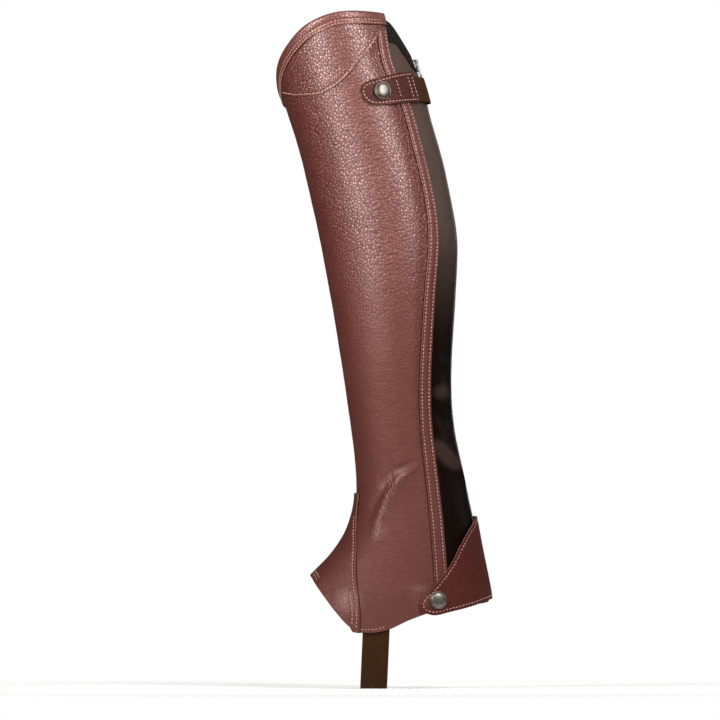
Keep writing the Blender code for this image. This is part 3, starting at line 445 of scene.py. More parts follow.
def folds(turn, z, table=CREASES):
    """The lift of the soft folds at a place: for each fold, that of its nearest stretch."""
    lift = np.zeros(np.shape(turn))
    for name in dict.fromkeys(column(table, "fold")):
        rows = [row for row in table if row.fold == name]
        nearest = np.full(np.shape(turn), 1e9)
        height = np.zeros(np.shape(turn))
        for row, after in zip(rows, rows[1:]):
            away, along = near_line(turn, z, row[1:3], after[1:3])
            far = away / (row.width + (after.width - row.width) * along)
            closer = far < nearest
            nearest = np.where(closer, far, nearest)
            height = np.where(closer, row.lift + (after.lift - row.lift) * along, height)
        lift = lift + height * np.exp(-(nearest**2))
    return lift


Wrinkle = namedtuple("Wrinkle", "start end lift width")


def ankle_wrinkles():
    """Short shallow creases across the ankle, and finer ones that run along the ridge."""
    draw = random.Random(11)
    made = []
    for side in (0, 360):
        for step in range(17):
            z = -0.116 - 0.0047 * step + draw.uniform(-0.0012, 0.0012)
            middle = 108 + draw.uniform(-9, 9)
            half = draw.uniform(6, 13)
            tilt = draw.uniform(-0.0016, 0.0012)
            ends = [(middle - half, z - tilt), (middle + half, z + tilt)]
            ends = [(abs(side - turn), height) for turn, height in ends]
            made.append(Wrinkle(*ends, draw.uniform(-0.00052, -0.00022), 0.0012))
        for step in range(7):
            turn, z = 92 + 4.6 * step, -0.187 - 0.0052 * step
            ends = [(turn, z), (turn + 10 + draw.uniform(0, 4), z - 0.0135)]
            ends = [(abs(side - turn), height) for turn, height in ends]
            made.append(Wrinkle(*ends, draw.uniform(-0.00048, -0.00024), 0.0011))
    return made


def stretch_wrinkles():
    """Creases of the stretch cloth, across it and slanting to the zip."""
    draw = random.Random(5)
    made = []
    for step in range(15):
        z = 0.066 - 0.0165 * step + draw.uniform(-0.005, 0.005)
        first = draw.uniform(10, 20)
        last = first + draw.uniform(12, 24)
        slant = draw.uniform(-0.004, 0.007)
        lift = draw.uniform(0.0005, 0.0011) * draw.choice((-1, 1))
        made.append(Wrinkle((first, z - slant), (last, z + slant), lift, 0.0036))
    return made


def flap_wrinkles():
    return [
        Wrinkle((50, -0.2858), (63, -0.2872), -0.00022, 0.0009),
        Wrinkle((47, -0.2884), (60, -0.2894), -0.00020, 0.0009),
        Wrinkle((40, -0.2700), (52, -0.2800), -0.00020, 0.0016),
        Wrinkle((22, -0.2450), (38, -0.2620), -0.00025, 0.0026),
    ]


def creased(turn, z, wrinkles):
    lift = np.zeros(np.shape(turn))
    for wrinkle in wrinkles:
        away, along = near_line(turn, z, wrinkle.start, wrinkle.end)
        taper = np.sin(np.pi * np.clip(along, 0, 1)) ** 0.7
        lift += wrinkle.lift * taper * np.exp(-((away / wrinkle.width) ** 2))
    return lift


def waves(turn, z, lift):
    """The slight unevenness of a hide that was cut, sewn and worn."""
    across = turn * METRES_PER_DEGREE
    total = np.sin(95 * across + 37 * z + 1.3) * np.sin(61 * z - 28 * across)
    total += 0.6 * np.sin(190 * across - 120 * z) * np.sin(150 * z + 44 * across + 2.0)
    total += 0.3 * np.sin(420 * across + 260 * z + 0.5) * np.sin(390 * z - 210 * across)
    return lift * total


def skin(turn, z, lift):
    lift = np.asarray(lift, float)[..., None]
    return surface(turn, z) + lift * normals(turn, z)


def cut(across, up, left, right, bottom, top):
    """Places on a panel between two side edges, which give a turn for each height, and two
    ends, which give a height for each turn. across and up run from 0 to 1."""
    u, v = np.meshgrid(across, up)
    z = bottom(left(0 * u)) * (1 - v) + top(left(0 * u)) * v
    for _ in range(60):
        turn = left(z) * (1 - u) + right(z) * u
        z = 0.5 * z + 0.5 * (bottom(turn) * (1 - v) + top(turn) * v)
    return turn, z


def level(height):
    return lambda turn: height + 0 * turn


EDGE_MARKS = (0.0, 0.0002, 0.0005, 0.0010)


def stations(length, step, first=EDGE_MARKS, last=EDGE_MARKS, sewn=()):
    """Shares of a length, close together at its edges and at the sewn rows."""
    marks = set(first) | {length - mark for mark in last}
    for row in sewn:
        middle = row if row >= 0 else length + row
        marks |= {middle + side * GROOVE_WIDTH for side in (-1.4, -0.7, 0, 0.7, 1.4)}
    made = sorted(marks)
    filled = [made[0]]
    for mark in made[1:]:
        gap = mark - filled[-1]
        parts = max(1, round(gap / step))
        filled += [filled[-1] + gap * (i + 1) / parts for i in range(parts)]
    return np.array(filled) / length


# Materials


class Wire:
    """A socket that can stand in a sum."""

    def __init__(self, finish, socket):
        self.finish = finish
        self.socket = socket

    def maths(self, operation, *values):
        return self.finish.node("Math", {"operation": operation}, dict(enumerate(values)))

    def __add__(self, other):
        return self.maths("ADD", self, other)

    def __sub__(self, other):
        return self.maths("SUBTRACT", self, other)

    def __rsub__(self, other):
        return self.maths("SUBTRACT", other, self)

    def __mul__(self, other):
        return self.maths("MULTIPLY", self, other)

    def __truediv__(self, other):
        return self.maths("DIVIDE", self, other)

    def __pow__(self, other):
        return self.maths("POWER", self, other)

    __radd__ = __add__
    __rmul__ = __mul__

    def clamped(self):
        return self.maths("MINIMUM", self.maths("MAXIMUM", self, 0.0), 1.0)

    def eased(self, low, high):
        """0 at low and 1 at high, with a soft step between them."""
        settings = {"interpolation_type": "SMOOTHSTEP"}
        sockets = {0: self, 1: min(low, high), 2: max(low, high)}
        step = self.finish.node("MapRange", settings, sockets)
        return step if low < high else 1 - step


class Finish:
    """A material with a principled shader, and the nodes that feed it."""

    def __init__(self, name, roughness=0.5, metallic=0.0, **sockets):
        self.made = bpy.data.materials.new(name)
        self.made.use_nodes = True
        self.tree = self.made.node_tree
        self.shader = self.tree.nodes["Principled BSDF"]
        self.paint(Roughness=roughness, Metallic=metallic)
        self.paint(**sockets)

    def node(self, kind, settings, sockets, out=0):
        made = self.tree.nodes.new("ShaderNode" + kind)
        for key, value in settings.items():
            setattr(made, key, value)
        for key, value in sockets.items():
            self.feed(made.inputs[key], value)
        return Wire(self, made.outputs[out])

    def feed(self, socket, value):
        if isinstance(value, Wire):
            self.tree.links.new(value.socket, socket)
        elif isinstance(value, tuple) and len(socket.default_value) == 4:
            socket.default_value = (*value, 1.0)
        else:
            socket.default_value = value

    def paint(self, **values):
        for key, value in values.items():
            self.feed(self.shader.inputs[key.replace("_", " ")], value)

    def place(self):
        return self.node("TexCoord", {}, {}, out=3)

    def stretched(self, vector, scale, turned=(0.0, 0.0, 0.0)):
        return self.node("Mapping", {}, {0: vector, 2: turned, 3: scale})

    def noise(self, scale, detail=2.0, roughness=0.5, vector=None):
        vector = vector or self.place()
        sockets = {"Vector": vector, "Scale": scale, "Detail": detail, "Roughness": roughness}
        return self.node("TexNoise", {}, sockets)

    def cells(self, scale, feature="SMOOTH_F1", smoothness=0.4, vector=None):
        vector = vector or self.place()
        sockets = {"Vector": vector, "Scale": scale}
        if feature == "SMOOTH_F1":
            sockets["Smoothness"] = smoothness
        return self.node("TexVoronoi", {"feature": feature}, sockets)

    def mixed(self, share, first, second):
        settings = {"data_type": "RGBA"}
        return self.node("Mix", settings, {0: share, 6: first, 7: second}, out=2)

    def height(self):
        return self.part_of(self.place(), 2)

    def part_of(self, vector, axis):
        return self.node("SeparateXYZ", {}, {0: vector}, out=axis)

    def bump(self, height, distance, strength=1.0):
        sockets = {"Height": height, "Distance": distance, "Strength": strength}
        self.paint(Normal=self.node("Bump", {}, sockets))


def warped(finish, scale, amount):
    """Object places pushed about by noise, so that cells aren't all alike."""
    push = finish.node("TexNoise", {}, {"Vector": finish.place(), "Scale": scale}, out=1)
    settings = {"operation": "MULTIPLY_ADD"}
    sockets = {0: push, 1: (amount, amount, amount), 2: finish.place()}
    return finish.node("VectorMath", settings, sockets)


def painted_highlight_mask(finish, places):
    """1 in the middle of a place with a painted highlight, and 0 away from them all."""
    seen = finish.stretched(finish.place(), (1.0, 0.0, 1.0))
    total = 0.0
    for spot in places:
        away = finish.node(
            "VectorMath", {"operation": "DISTANCE"}, {0: seen, 1: (spot.x, 0.0, spot.z)}, out=1,
        )
        total = away.eased(spot.reach, 0.2 * spot.reach) + total
    return total.clamped()


def grained_leather(name, deep, middle, light, grain=1.0, roughness=0.27, polish=0.8,
                    shine=0.95):
    """Drum-tumbled hide: rounded pebbles with painted shade in the creases between them, polished on
    top. The grain is bold and glossy on the calf, and fine and dull at the ankle, where the colour is
    darkened as painted shade; painted highlights lighten the listed spots and the fine wrinkles."""
    finish = Finish(
        name, Specular_IOR_Level=shine, Specular_Tint=(1.0, 0.60, 0.54),
        Coat_IOR=1.7, Coat_Roughness=0.46,
    )
    places = warped(finish, 150.0, 0.0006)
    # Painted highlights: 1 at the listed highlight spots, where the colour is lightened and the grain
    # made bolder
    highlight_spots = painted_highlight_mask(finish, HIDE_HIGHLIGHT_SPOTS)
    coarse = (finish.height().eased(-0.13, 0.03) * 0.85 + highlight_spots * 0.34 + 0.12).clamped()
    near = finish.cells(400.0, "F1", vector=places)
    domes = 1 - near * near * 2.0
    crease = 1 - (finish.cells(400.0, "DISTANCE_TO_EDGE", vector=places) * 7.0).clamped()
    fine = finish.cells(900.0, "F1", vector=places)
    fine = 1 - fine * fine * 2.0
    relief = (domes - crease * 0.4) * coarse + fine * (1.15 - coarse) * 0.30
    wrinkles = finish.noise(300.0, 3.0, 0.6, finish.stretched(finish.place(), (0.5, 0.5, 1.3)))
    wrinkles = wrinkles.eased(0.40, 0.68) * finish.height().eased(-0.02, -0.10)
    relief = relief + wrinkles * 0.34
    pits = finish.noise(2600.0, 2.0) * 0.08
    # Painted shade: the creases between the pebbles are painted darker; the same mask makes them
    # rougher and less polished
    shaded_creases = crease * coarse + (1 - fine).clamped() * (0.36 - coarse * 0.3)
    clouds = finish.noise(16.0, 4.0, 0.6).eased(0.3, 0.7)
    worn = finish.noise(70.0, 5.0, 0.65).eased(0.50, 0.80)
    colour = finish.mixed(clouds * 0.30 + worn * 0.20, middle, light)
    colour = finish.mixed((shaded_creases * (0.9 * grain)).clamped(), colour, deep)
    # Painted light: darker colour towards the ankle is painted shade, and lighter colour at the
    # highlight spots and on the fine wrinkles is painted highlight; the same mask sets polish and
    # roughness
    painted_light_and_polish = (finish.height().eased(-0.14, 0.04) + highlight_spots * 0.5 + wrinkles * 0.12).clamped()
    colour = finish.mixed((1 - painted_light_and_polish) * 0.42, colour, deep)
    finish.paint(
        Base_Color=colour,
        Roughness=roughness + shaded_creases * 0.20 + (1 - painted_light_and_polish) * 0.30 + clouds * 0.04,
        Coat_Weight=painted_light_and_polish * (1 - shaded_creases * 0.7).clamped() * polish,
    )
    finish.bump(relief + pits, 0.00032 * grain)
    return finish.made


def flesh_side(name, colour, light):
    """The brushed inner side of the hide."""
    finish = Finish(name, roughness=0.9, Specular_IOR_Level=0.12)
    nap = finish.noise(900.0, 4.0, 0.7)
    clouds = finish.noise(40.0, 3.0).eased(0.3, 0.7)
    finish.paint(Base_Color=finish.mixed(nap * 0.5 + clouds * 0.5, colour, light))
    finish.bump(nap, 0.00025)
    return finish.made


def cut_edge(name, colour, light):
    """The dyed edge of cut leather, a little lighter and fibrous."""
    finish = Finish(name, roughness=0.62)
    layers = finish.noise(1500.0, 3.0, 0.6)
    finish.paint(Base_Color=finish.mixed(layers, colour, light))
    finish.bump(layers, 0.00012)
    return finish.made


def stretch_cloth(name, low, high):
    """Dense stretch cloth with fine ribs, and a dull shine."""
    finish = Finish(name, Specular_IOR_Level=0.10, Specular_Tint=(1.0, 0.75, 0.65))
    ribs = finish.node(
        "TexWave", {"wave_type": "BANDS", "bands_direction": "Z"},
        {"Vector": finish.place(), "Scale": 420.0, "Distortion": 0.6},
    )
    yarn = finish.noise(1800.0, 2.0)
    lit = finish.height().eased(-0.09, 0.05)
    blotch = finish.noise(26.0, 3.0).eased(0.35, 0.7)
    colour = finish.mixed(lit, low, high)
    colour = finish.mixed((blotch * 0.25 + ribs * 0.12) * lit, colour, (0.100, 0.068, 0.058))
    # Painted highlights: the cloth is painted lighter on the oval and along the slanting ridge of its
    # folds
    colour = finish.mixed(painted_highlight_mask(finish, CLOTH_HIGHLIGHT_SPOTS) * 0.62, colour, (0.062, 0.036, 0.032))
    finish.paint(Base_Color=colour, Roughness=0.42 + yarn * 0.12)
    finish.bump(ribs * 0.5 + yarn * 0.6, 0.00006)
    return finish.made


def woven_tape(name, low, high, roughness=0.78):
    """Close herringbone tape, as on a zip."""
    finish = Finish(name, Specular_IOR_Level=0.15)
    ribs = finish.node(
        "TexWave", {"wave_type": "BANDS", "bands_direction": "DIAGONAL"},
        {"Vector": finish.place(), "Scale": 520.0, "Distortion": 1.0},
    )
    yarn = finish.noise(2200.0, 2.0)
    finish.paint(
        Base_Color=finish.mixed(ribs * 0.6 + yarn * 0.3, low, high),
        Roughness=roughness + yarn * 0.1,
    )
    finish.bump(ribs + yarn * 0.5, 0.00012)
    return finish.made


def ribbed_elastic(name, low, high, along, lean=0.0):
    """Woven elastic: cords along it, and a fine weft across it."""
    finish = Finish(name, Specular_IOR_Level=0.12)
    place = finish.place()
    across = finish.part_of(place, along) + finish.part_of(place, 2) * lean
    cords = (across * (2 * math.pi / 0.0013)).maths("SINE", across * (2 * math.pi / 0.0013))
    cords = cords * 0.5 + 0.5
    weft = finish.noise(1700.0, 2.0, vector=finish.stretched(place, (1.0, 1.0, 1.0)))
    clouds = finish.noise(60.0, 3.0).eased(0.3, 0.7)
    shade = cords * 0.45 + weft * 0.35 + clouds * 0.2
    finish.paint(Base_Color=finish.mixed(shade, low, high), Roughness=0.74 + weft * 0.1)
    finish.bump(cords * 0.7 + weft * 0.6, 0.00016)
    return finish.made


def sewing_thread(name, low, high):
    finish = Finish(name, roughness=0.55, Specular_IOR_Level=0.4, Sheen_Weight=0.1)
    twist = finish.noise(2600.0, 2.0)
    clouds = finish.noise(120.0, 2.0).eased(0.3, 0.7)
    finish.paint(Base_Color=finish.mixed(twist * 0.4 + clouds * 0.6, low, high))
    finish.bump(twist, 0.00008)
    return finish.made


def old_metal(name, dark, painted_light_and_polish, roughness=0.34):
    """Antiqued plating: bright where it is worn, dark where the patina stays."""
    finish = Finish(name, metallic=1.0)
    patina = finish.noise(160.0, 3.0, 0.5).eased(0.20, 0.72)
    scratches = finish.noise(
        900.0, 3.0, vector=finish.stretched(finish.place(), (1.0, 1.0, 5.0)),
    )
    finish.paint(
        Base_Color=finish.mixed(patina, dark, painted_light_and_polish),
        Roughness=roughness + 0.10 - patina * 0.08 + scratches * 0.04,
    )
    finish.bump(scratches, 0.00002)
    return finish.made


HIDE = grained_leather("grained_hide", (0.036, 0.0050, 0.0030), (0.122, 0.0225, 0.0155),
                       (0.160, 0.038, 0.029))
FOLDED_HIDE = grained_leather("folded_hide", (0.042, 0.007, 0.0046), (0.122, 0.0250, 0.0175),
                              (0.160, 0.041, 0.031), grain=0.55, roughness=0.28)
TAB_HIDE = grained_leather("tab_hide", (0.018, 0.0026, 0.0015), (0.046, 0.0075, 0.0045),
                           (0.068, 0.014, 0.0100), grain=0.7, roughness=0.52, polish=0.05,
                           shine=0.5)
FLAP_HIDE = grained_leather("flap_hide", (0.034, 0.0040, 0.0022), (0.094, 0.0112, 0.0066),
                            (0.124, 0.021, 0.0140), grain=0.6, roughness=0.46, shine=0.5)
STRIP_HIDE = grained_leather("strip_hide", (0.034, 0.0050, 0.0032), (0.100, 0.0180, 0.0120),
                             (0.134, 0.031, 0.0230), grain=0.55, roughness=0.36, polish=0.55)
FLESH = flesh_side("flesh_side", (0.045, 0.021, 0.014), (0.090, 0.045, 0.031))
RAW_EDGE = cut_edge("cut_edge", (0.120, 0.045, 0.034), (0.26, 0.120, 0.094))
DARK_EDGE = cut_edge("dark_edge", (0.030, 0.0085, 0.006), (0.070, 0.022, 0.016))
STRETCH_CLOTH = stretch_cloth("stretch_cloth", (0.0050, 0.0018, 0.0010), (0.072, 0.047, 0.039))
HEM_TAPE = woven_tape("hem_tape", (0.005, 0.004, 0.0035), (0.018, 0.014, 0.012))
ZIP_TAPE = woven_tape("zip_tape", (0.005, 0.0035, 0.003), (0.016, 0.011, 0.009))
STRAP_ELASTIC = ribbed_elastic("strap_elastic_weave", (0.020, 0.0065, 0.0020),
                               (0.075, 0.027, 0.0065), along=2)
LOOP_ELASTIC = ribbed_elastic("loop_elastic_weave", (0.018, 0.0065, 0.0018),
                              (0.052, 0.019, 0.0042), along=0, lean=-LOOP_LEAN)
THREAD = sewing_thread("tan_thread", (0.30, 0.160, 0.118), (0.58, 0.365, 0.290))
OLD_SILVER = old_metal("old_silver_plate", (0.075, 0.066, 0.056), (0.240, 0.220, 0.200),
                       roughness=0.36)
NICKEL = old_metal("nickel_plate", (0.20, 0.195, 0.19), (0.44, 0.44, 0.43), roughness=0.40)


# Making meshes


def add_piece(name, points, faces, finishes, marks=None, sharp=50):
    mesh = bpy.data.meshes.new(name)
    mesh.from_pydata(np.asarray(points, float).reshape(-1, 3).tolist(), [], faces)
    for finish in finishes:
        mesh.materials.append(finish)
    if marks is not None:
        mesh.polygons.foreach_set("material_index", marks)
    mesh.validate()
    mesh.shade_smooth()
    mesh.set_sharp_from_angle(angle=math.radians(sharp))
    made = bpy.data.objects.new(name, mesh)
    bpy.context.scene.collection.objects.link(made)
    return made


def fixed(piece, *nodes, body="chap"):
    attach(piece, body)
    if nodes:
        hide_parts(*nodes)
    return piece


def rim_of(rows, columns):
    rim = [across for across in range(columns)]
    rim += [row * columns + columns - 1 for row in range(1, rows)]
    rim += [(rows - 1) * columns + across for across in range(columns - 2, -1, -1)]
    rim += [row * columns for row in range(rows - 2, 0, -1)]
    return rim


def wall(name, inside, outside, finishes):
    """A closed wall between two grids of points: face, back and edge have their own finish."""
    rows, columns = inside.shape[:2]
    count = rows * columns
    points = np.concatenate([outside.reshape(-1, 3), inside.reshape(-1, 3)])
    low = (np.arange(rows - 1)[:, None] * columns + np.arange(columns - 1)).ravel()
    face = np.stack([low, low + columns, low + columns + 1, low + 1], axis=-1)
    back = count + face[:, ::-1]
    rim = np.array(rim_of(rows, columns))
    after = np.roll(rim, -1)
    edge = np.stack([rim, after, count + after, count + rim], axis=-1)
    faces = np.concatenate([face, back, edge]).tolist()
    marks = [0] * len(face) + [1] * len(back) + [2] * len(edge)
    return add_piece(name, points, faces, finishes, marks)


def dense(points, step=0.0003):
    """A line of points with more between them."""
    points = np.asarray(points, float)
    run = np.concatenate([[0], np.cumsum(np.linalg.norm(np.diff(points, axis=0), axis=1))])
    at = np.linspace(0, run[-1], max(2, int(run[-1] / step)))
    return np.stack([np.interp(at, run, points[:, i]) for i in range(points.shape[1])], -1)


def distance_to(points, lines):
    """Metres from each point to the nearest of some lines."""
    line = np.concatenate([dense(line) for line in lines])
    tree = kdtree.KDTree(len(line))
    for i, point in enumerate(line):
        tree.insert(point, i)
    tree.balance()
    far = [tree.find(point)[2] for point in points.reshape(-1, 3)]
    return np.array(far).reshape(points.shape[:-1])


def rounded(distance, radius):
    """How far a rounded edge falls below the face."""
    short = np.clip(1 - distance / radius, 0, 1)
    return radius * (1 - np.sqrt(1 - short**2))


Row = namedtuple("Row", "turn z")


def inset(turn, z, distance):
    """A line of places moved sideways on the surface: down, for one that runs to higher turns."""
    ahead = unit(np.gradient(surface(turn, z), axis=0))
    side = np.cross(normals(turn, z), ahead)
    by_turn, by_z = slopes(turn, z)
    tt, tz, zz = (by_turn * by_turn).sum(-1), (by_turn * by_z).sum(-1), (by_z * by_z).sum(-1)
    dt, dz = (side * by_turn).sum(-1), (side * by_z).sum(-1)
    room = tt * zz - tz * tz
    return Row(
        turn + distance * (zz * dt - tz * dz) / room,
        z + distance * (tt * dz - tz * dt) / room,
    )


def sewn_piece(name, places, lift, thickness, finishes, rows=(), edge=0.42):
    """A cut piece with rounded edges, pulled down along its sewn rows."""
    turn, z = places
    middle = surface(turn, z)
    rim = middle.reshape(-1, 3)[rim_of(*turn.shape)]
    round_off = rounded(distance_to(middle, [np.concatenate([rim, rim[:1]])]), edge * thickness)
    dip = np.zeros(turn.shape)
    if rows:
        away = distance_to(middle, [surface(row.turn, row.z) for row in rows])
        dip = GROOVE_DEPTH * np.exp(-((away / GROOVE_WIDTH) ** 2))
    inside = skin(turn, z, lift + round_off)
    outside = skin(turn, z, lift + thickness - round_off - dip)
    return wall(name, inside, outside, finishes)


def stitch_shape():
    """One stitch along X with its middle arched up Z: rows of points round it."""
    shape = []
    for share, size in ((-0.5, 0.45), (-0.36, 0.95), (0.0, 1.08), (0.36, 0.95), (0.5, 0.45)):
        rise = THREAD_RADIUS * (0.9 * (1 - (2 * share) ** 2) - 0.55)
        for i in range(6):
            angle = 2 * math.pi * i / 6
            shape.append((
                share * STITCH_LENGTH,
                size * THREAD_RADIUS * math.cos(angle),
                size * THREAD_RADIUS * math.sin(angle) + rise,
            ))
    return np.array(shape)


def stitch_faces():
    faces = []
    for ring in range(4):
        for i in range(6):
            j = (i + 1) % 6
            faces.append((6 * ring + i, 6 * ring + j, 6 * ring + 6 + j, 6 * ring + 6 + i))
    faces.append(tuple(range(5, -1, -1)))
    faces.append(tuple(range(24, 30)))
    return faces


def sew(name, lines, body="chap"):
    """Stitches along lines: each line is its points and the way out of the leather at each."""
    shape, pattern = stitch_shape(), stitch_faces()
    draw = random.Random(len(name))
    points, faces = [], []
    for line, out in lines:
        both = np.concatenate([line, out], axis=1)
        run = np.concatenate([[0], np.cumsum(np.linalg.norm(np.diff(line, axis=0), axis=1))])
        count = max(1, int((run[-1] - STITCH_LENGTH) / STITCH_PITCH))
        slack = (run[-1] - count * STITCH_PITCH) / 2
        for i in range(count):
            at = slack + (i + 0.5) * STITCH_PITCH + draw.uniform(-0.0001, 0.0001)
            here = np.array([np.interp(at, run, both[:, k]) for k in range(6)])
            before = np.array([np.interp(at - 0.001, run, line[:, k]) for k in range(3)])
            later = np.array([np.interp(at + 0.001, run, line[:, k]) for k in range(3)])
            ahead = unit(later - before)
            up = unit(here[3:] - ahead * (here[3:] @ ahead))
            side = np.cross(up, ahead)
            skew = ahead + side * draw.uniform(-0.05, 0.05)
            ahead = unit(skew)
            side = np.cross(up, ahead)
            start = len(points) * len(shape)
            points.append(here[:3] + shape @ np.stack([ahead, side, up]))
            faces += [tuple(start + index for index in face) for face in pattern]
    made = add_piece(name, np.concatenate(points), faces, [THREAD], sharp=80)
    return fixed(made, body=body)


def sewn_line(row, lift):
    """The points and the ways out of a row of sewing at this lift of the leather's face."""
    lift = lift - GROOVE_DEPTH + 0.25 * THREAD_RADIUS
    return skin(row.turn, row.z, lift), normals(row.turn, row.z)


def part_of_row(row, keep):
    chosen = keep(row.turn, row.z)
    return Row(row.turn[chosen], row.z[chosen])


# The pieces


def zip_edge(z):
    return 360 + ZIP(z) - degrees_for(ZIP_OPENING / 2, z)


def leather_grid():
    """Places over the main panel, closer together at the ankle and by the zip."""
    hem = outline(mirrored(LEATHER_HEM_OUTER[1:])[:-1] + LEATHER_HEM_BY_ZIP)
    top = outline(LEATHER_TOP, corners=False)
    nominal_left, nominal_right, still_left, still_right = 45, 357, 100, 260
    near_zip = nominal_right - np.array([0.0, 0.3, 0.7, 1.3, 2.0, 2.7, 3.3, 4.0, 6.0])
    across = np.concatenate([np.linspace(nominal_left, 349, 128), near_zip[::-1]])
    heights = np.concatenate([
        [0.0, 0.0005, 0.0014, 0.0026], np.linspace(0.0045, 0.42, 128),
        np.linspace(0.424, 0.995, 76), [1.0],
    ])
    station, v = np.meshgrid(across, heights)
    z = hem(station) * (1 - v) + top(station) * v
    near_left = np.clip((still_left - station) / (still_left - nominal_left), 0, 1)
    near_right = np.clip((station - still_right) / (nominal_right - still_right), 0, 1)
    for _ in range(60):
        turn = station + (SEAM(z) - nominal_left) * near_left
        turn = turn + (zip_edge(z) - nominal_right) * near_right
        z = 0.5 * z + 0.5 * (hem(turn) * (1 - v) + top(turn) * v)
    return turn, z, hem


def seam_dip(turn, z):
    """The hide is drawn down where it runs under the edge strip."""
    past = (turn - SEAM(z)) * METRES_PER_DEGREE - STRIP_WIDTH
    return -0.0009 * np.exp(-((past / 0.0055) ** 2))


def main_panel():
    """The one-piece leather round the shin, from the edge strip to the zip."""
    turn, z, hem = leather_grid()
    lift = folds(turn, z) + creased(turn, z, ankle_wrinkles()) + waves(turn, z, 0.00012)
    lift = lift + seam_dip(turn, z) + folds(turn, z, SKIN_CREASES)
    upper = np.linspace(-0.285, 0.130, 500)
    by_zip = [Row(zip_edge(upper) - degrees_for(far, upper), upper) for far in (0.0022, 0.0082)]
    hem_turn = np.linspace(86.5, 101.5, 90)
    hem_row = inset(hem_turn, hem(hem_turn), -0.0028)
    inner_turn = np.linspace(360 - 101.5, 360 - 86.5, 90)
    inner_row = inset(inner_turn, hem(inner_turn), -0.0028)
    rows = [*by_zip, hem_row, inner_row]
    piece = sewn_piece("main_leather", (turn, z), lift, LEATHER, [HIDE, FLESH, DARK_EDGE],
                       rows)
    fixed(piece, "main_panel")
    lines = [sewn_line(row, LEATHER + folds(row.turn, row.z)) for row in rows]
    return piece, sew("main_leather_stitches", lines)


def top_line(count):
    """Places along the leather's top edge, from the outer back corner to the zip."""
    top = outline(LEATHER_TOP, corners=False)
    first = SEAM(TOP_CORNER_Z) + degrees_for(SEAM_GAP, TOP_CORNER_Z)
    last = 360 + ZIP(TOP_ZIP_Z) - degrees_for(ZIP_OPENING / 2, TOP_ZIP_Z)
    turn = np.linspace(first, last, count)
    return turn, top(turn)


def binding_lift(drop):
    """The outer face of the binding: a full roll at the edge, flat and sewn twice below."""
    base = LEATHER + BIND_GAP
    roll = 1.15 * np.exp(-(((drop - 0.0012) / 0.0030) ** 2))
    grooves = sum(0.30 * np.exp(-(((drop - row) / 0.0007) ** 2)) for row in BINDING_ROWS)
    return base + BINDING_WALL * (0.80 + 0.32 * roll - grooves)


BINDING_ROWS = (0.0052, 0.0076)


def top_binding():
    turn, z = top_line(260)
    base, inside = LEATHER + BIND_GAP, -BIND_GAP
    profile = [(base, BINDING_DEPTH), (base + BINDING_WALL * 0.45, BINDING_DEPTH)]
    for drop in (0.0089, 0.0083, 0.0079, 0.0076, 0.0073, 0.0069, 0.0064, 0.0059, 0.0055, 0.0052,
                 0.0049, 0.0045, 0.0038, 0.0030, 0.0021, 0.0012, 0.0003):
        profile.append((float(binding_lift(drop)), drop))
    top_out, top_in = float(binding_lift(-0.0002)), inside - BINDING_WALL * 0.8
    middle, reach = (top_out + top_in) / 2, (top_out - top_in) / 2
    for angle in range(20, 180, 20):
        bend = math.radians(angle)
        profile.append((middle + reach * math.cos(bend), -0.0002 - 0.0017 * math.sin(bend)))
    profile += [(top_in, 0.0010), (top_in, BINDING_RETURN - 0.0006)]
    profile += [(inside - BINDING_WALL * 0.3, BINDING_RETURN), (inside, BINDING_RETURN)]
    profile += [(inside, -BIND_GAP), (base, -BIND_GAP)]
    rings = []
    lean = np.clip(1 - np.arange(len(turn)) / 5, 0, 1)
    for lift, drop in profile:
        moved = inset(turn, z, drop)
        moved_turn = moved.turn - BINDING_LEAN * drop * (lift > 0) * lean
        rings.append(skin(moved_turn, moved.z, lift + 0 * moved_turn))
    rings = np.stack(rings, axis=1)
    count, size = rings.shape[:2]
    faces = []
    for ring in range(count - 1):
        for i in range(size):
            j = (i + 1) % size
            a, b = ring * size, (ring + 1) * size
            faces.append((a + i, b + i, b + j, a + j))
    faces.append(tuple(range(size)))
    faces.append(tuple(range(count * size - 1, (count - 1) * size - 1, -1)))
    piece = add_piece("rolled_binding", rings, faces, [FOLDED_HIDE], sharp=60)
    outward(piece)
    fixed(piece, "top_binding")
    lines = []
    for drop in BINDING_ROWS:
        row = inset(turn, z, drop)
        lift = float(binding_lift(drop)) + GROOVE_DEPTH
        lines.append(sewn_line(Row(row.turn[2:], row.z[2:]), lift))
    return piece, sew("binding_stitches", lines)


def outward(piece):
    """Turns a closed mesh's faces outward."""
    grid = bmesh.new()
    grid.from_mesh(piece.data)
    bmesh.ops.recalc_face_normals(grid, faces=grid.faces)
    grid.to_mesh(piece.data)
    grid.free()


def yoke():
    """The shaped overlay under the binding. It is left plain."""
    top_turn, top_z = top_line(260)
    below = inset(top_turn, top_z, BINDING_DEPTH + BUTT_GAP)
    under_binding = Curve(below.turn[below.turn < 178], below.z[below.turn < 178])
    hem = outline(YOKE_HEM)
    places = cut(
        stations(0.110, 0.0016), stations(0.045, 0.0014, sewn=(0.0017,)),
        left=lambda z: SEAM(z) + degrees_for(STRIP_WIDTH + SEAM_GAP, z),
        right=lambda z: YOKE_END_TURN + 0 * z, bottom=hem, top=under_binding,
    )
    turn = np.linspace(float(places[0][0, 0]) + 1.5, YOKE_END_TURN - 0.5, 400)
    row = inset(turn, hem(turn), -0.0017)
    lift = ON_LEATHER + waves(*places, 0.00010)
    piece = sewn_piece("plain_yoke", places, lift, OVERLAY, [HIDE, FLESH, RAW_EDGE],
                       [row])
    fixed(piece, "top_yoke")
    return piece, sew("yoke_stitches", [sewn_line(row, ON_LEATHER + OVERLAY)])


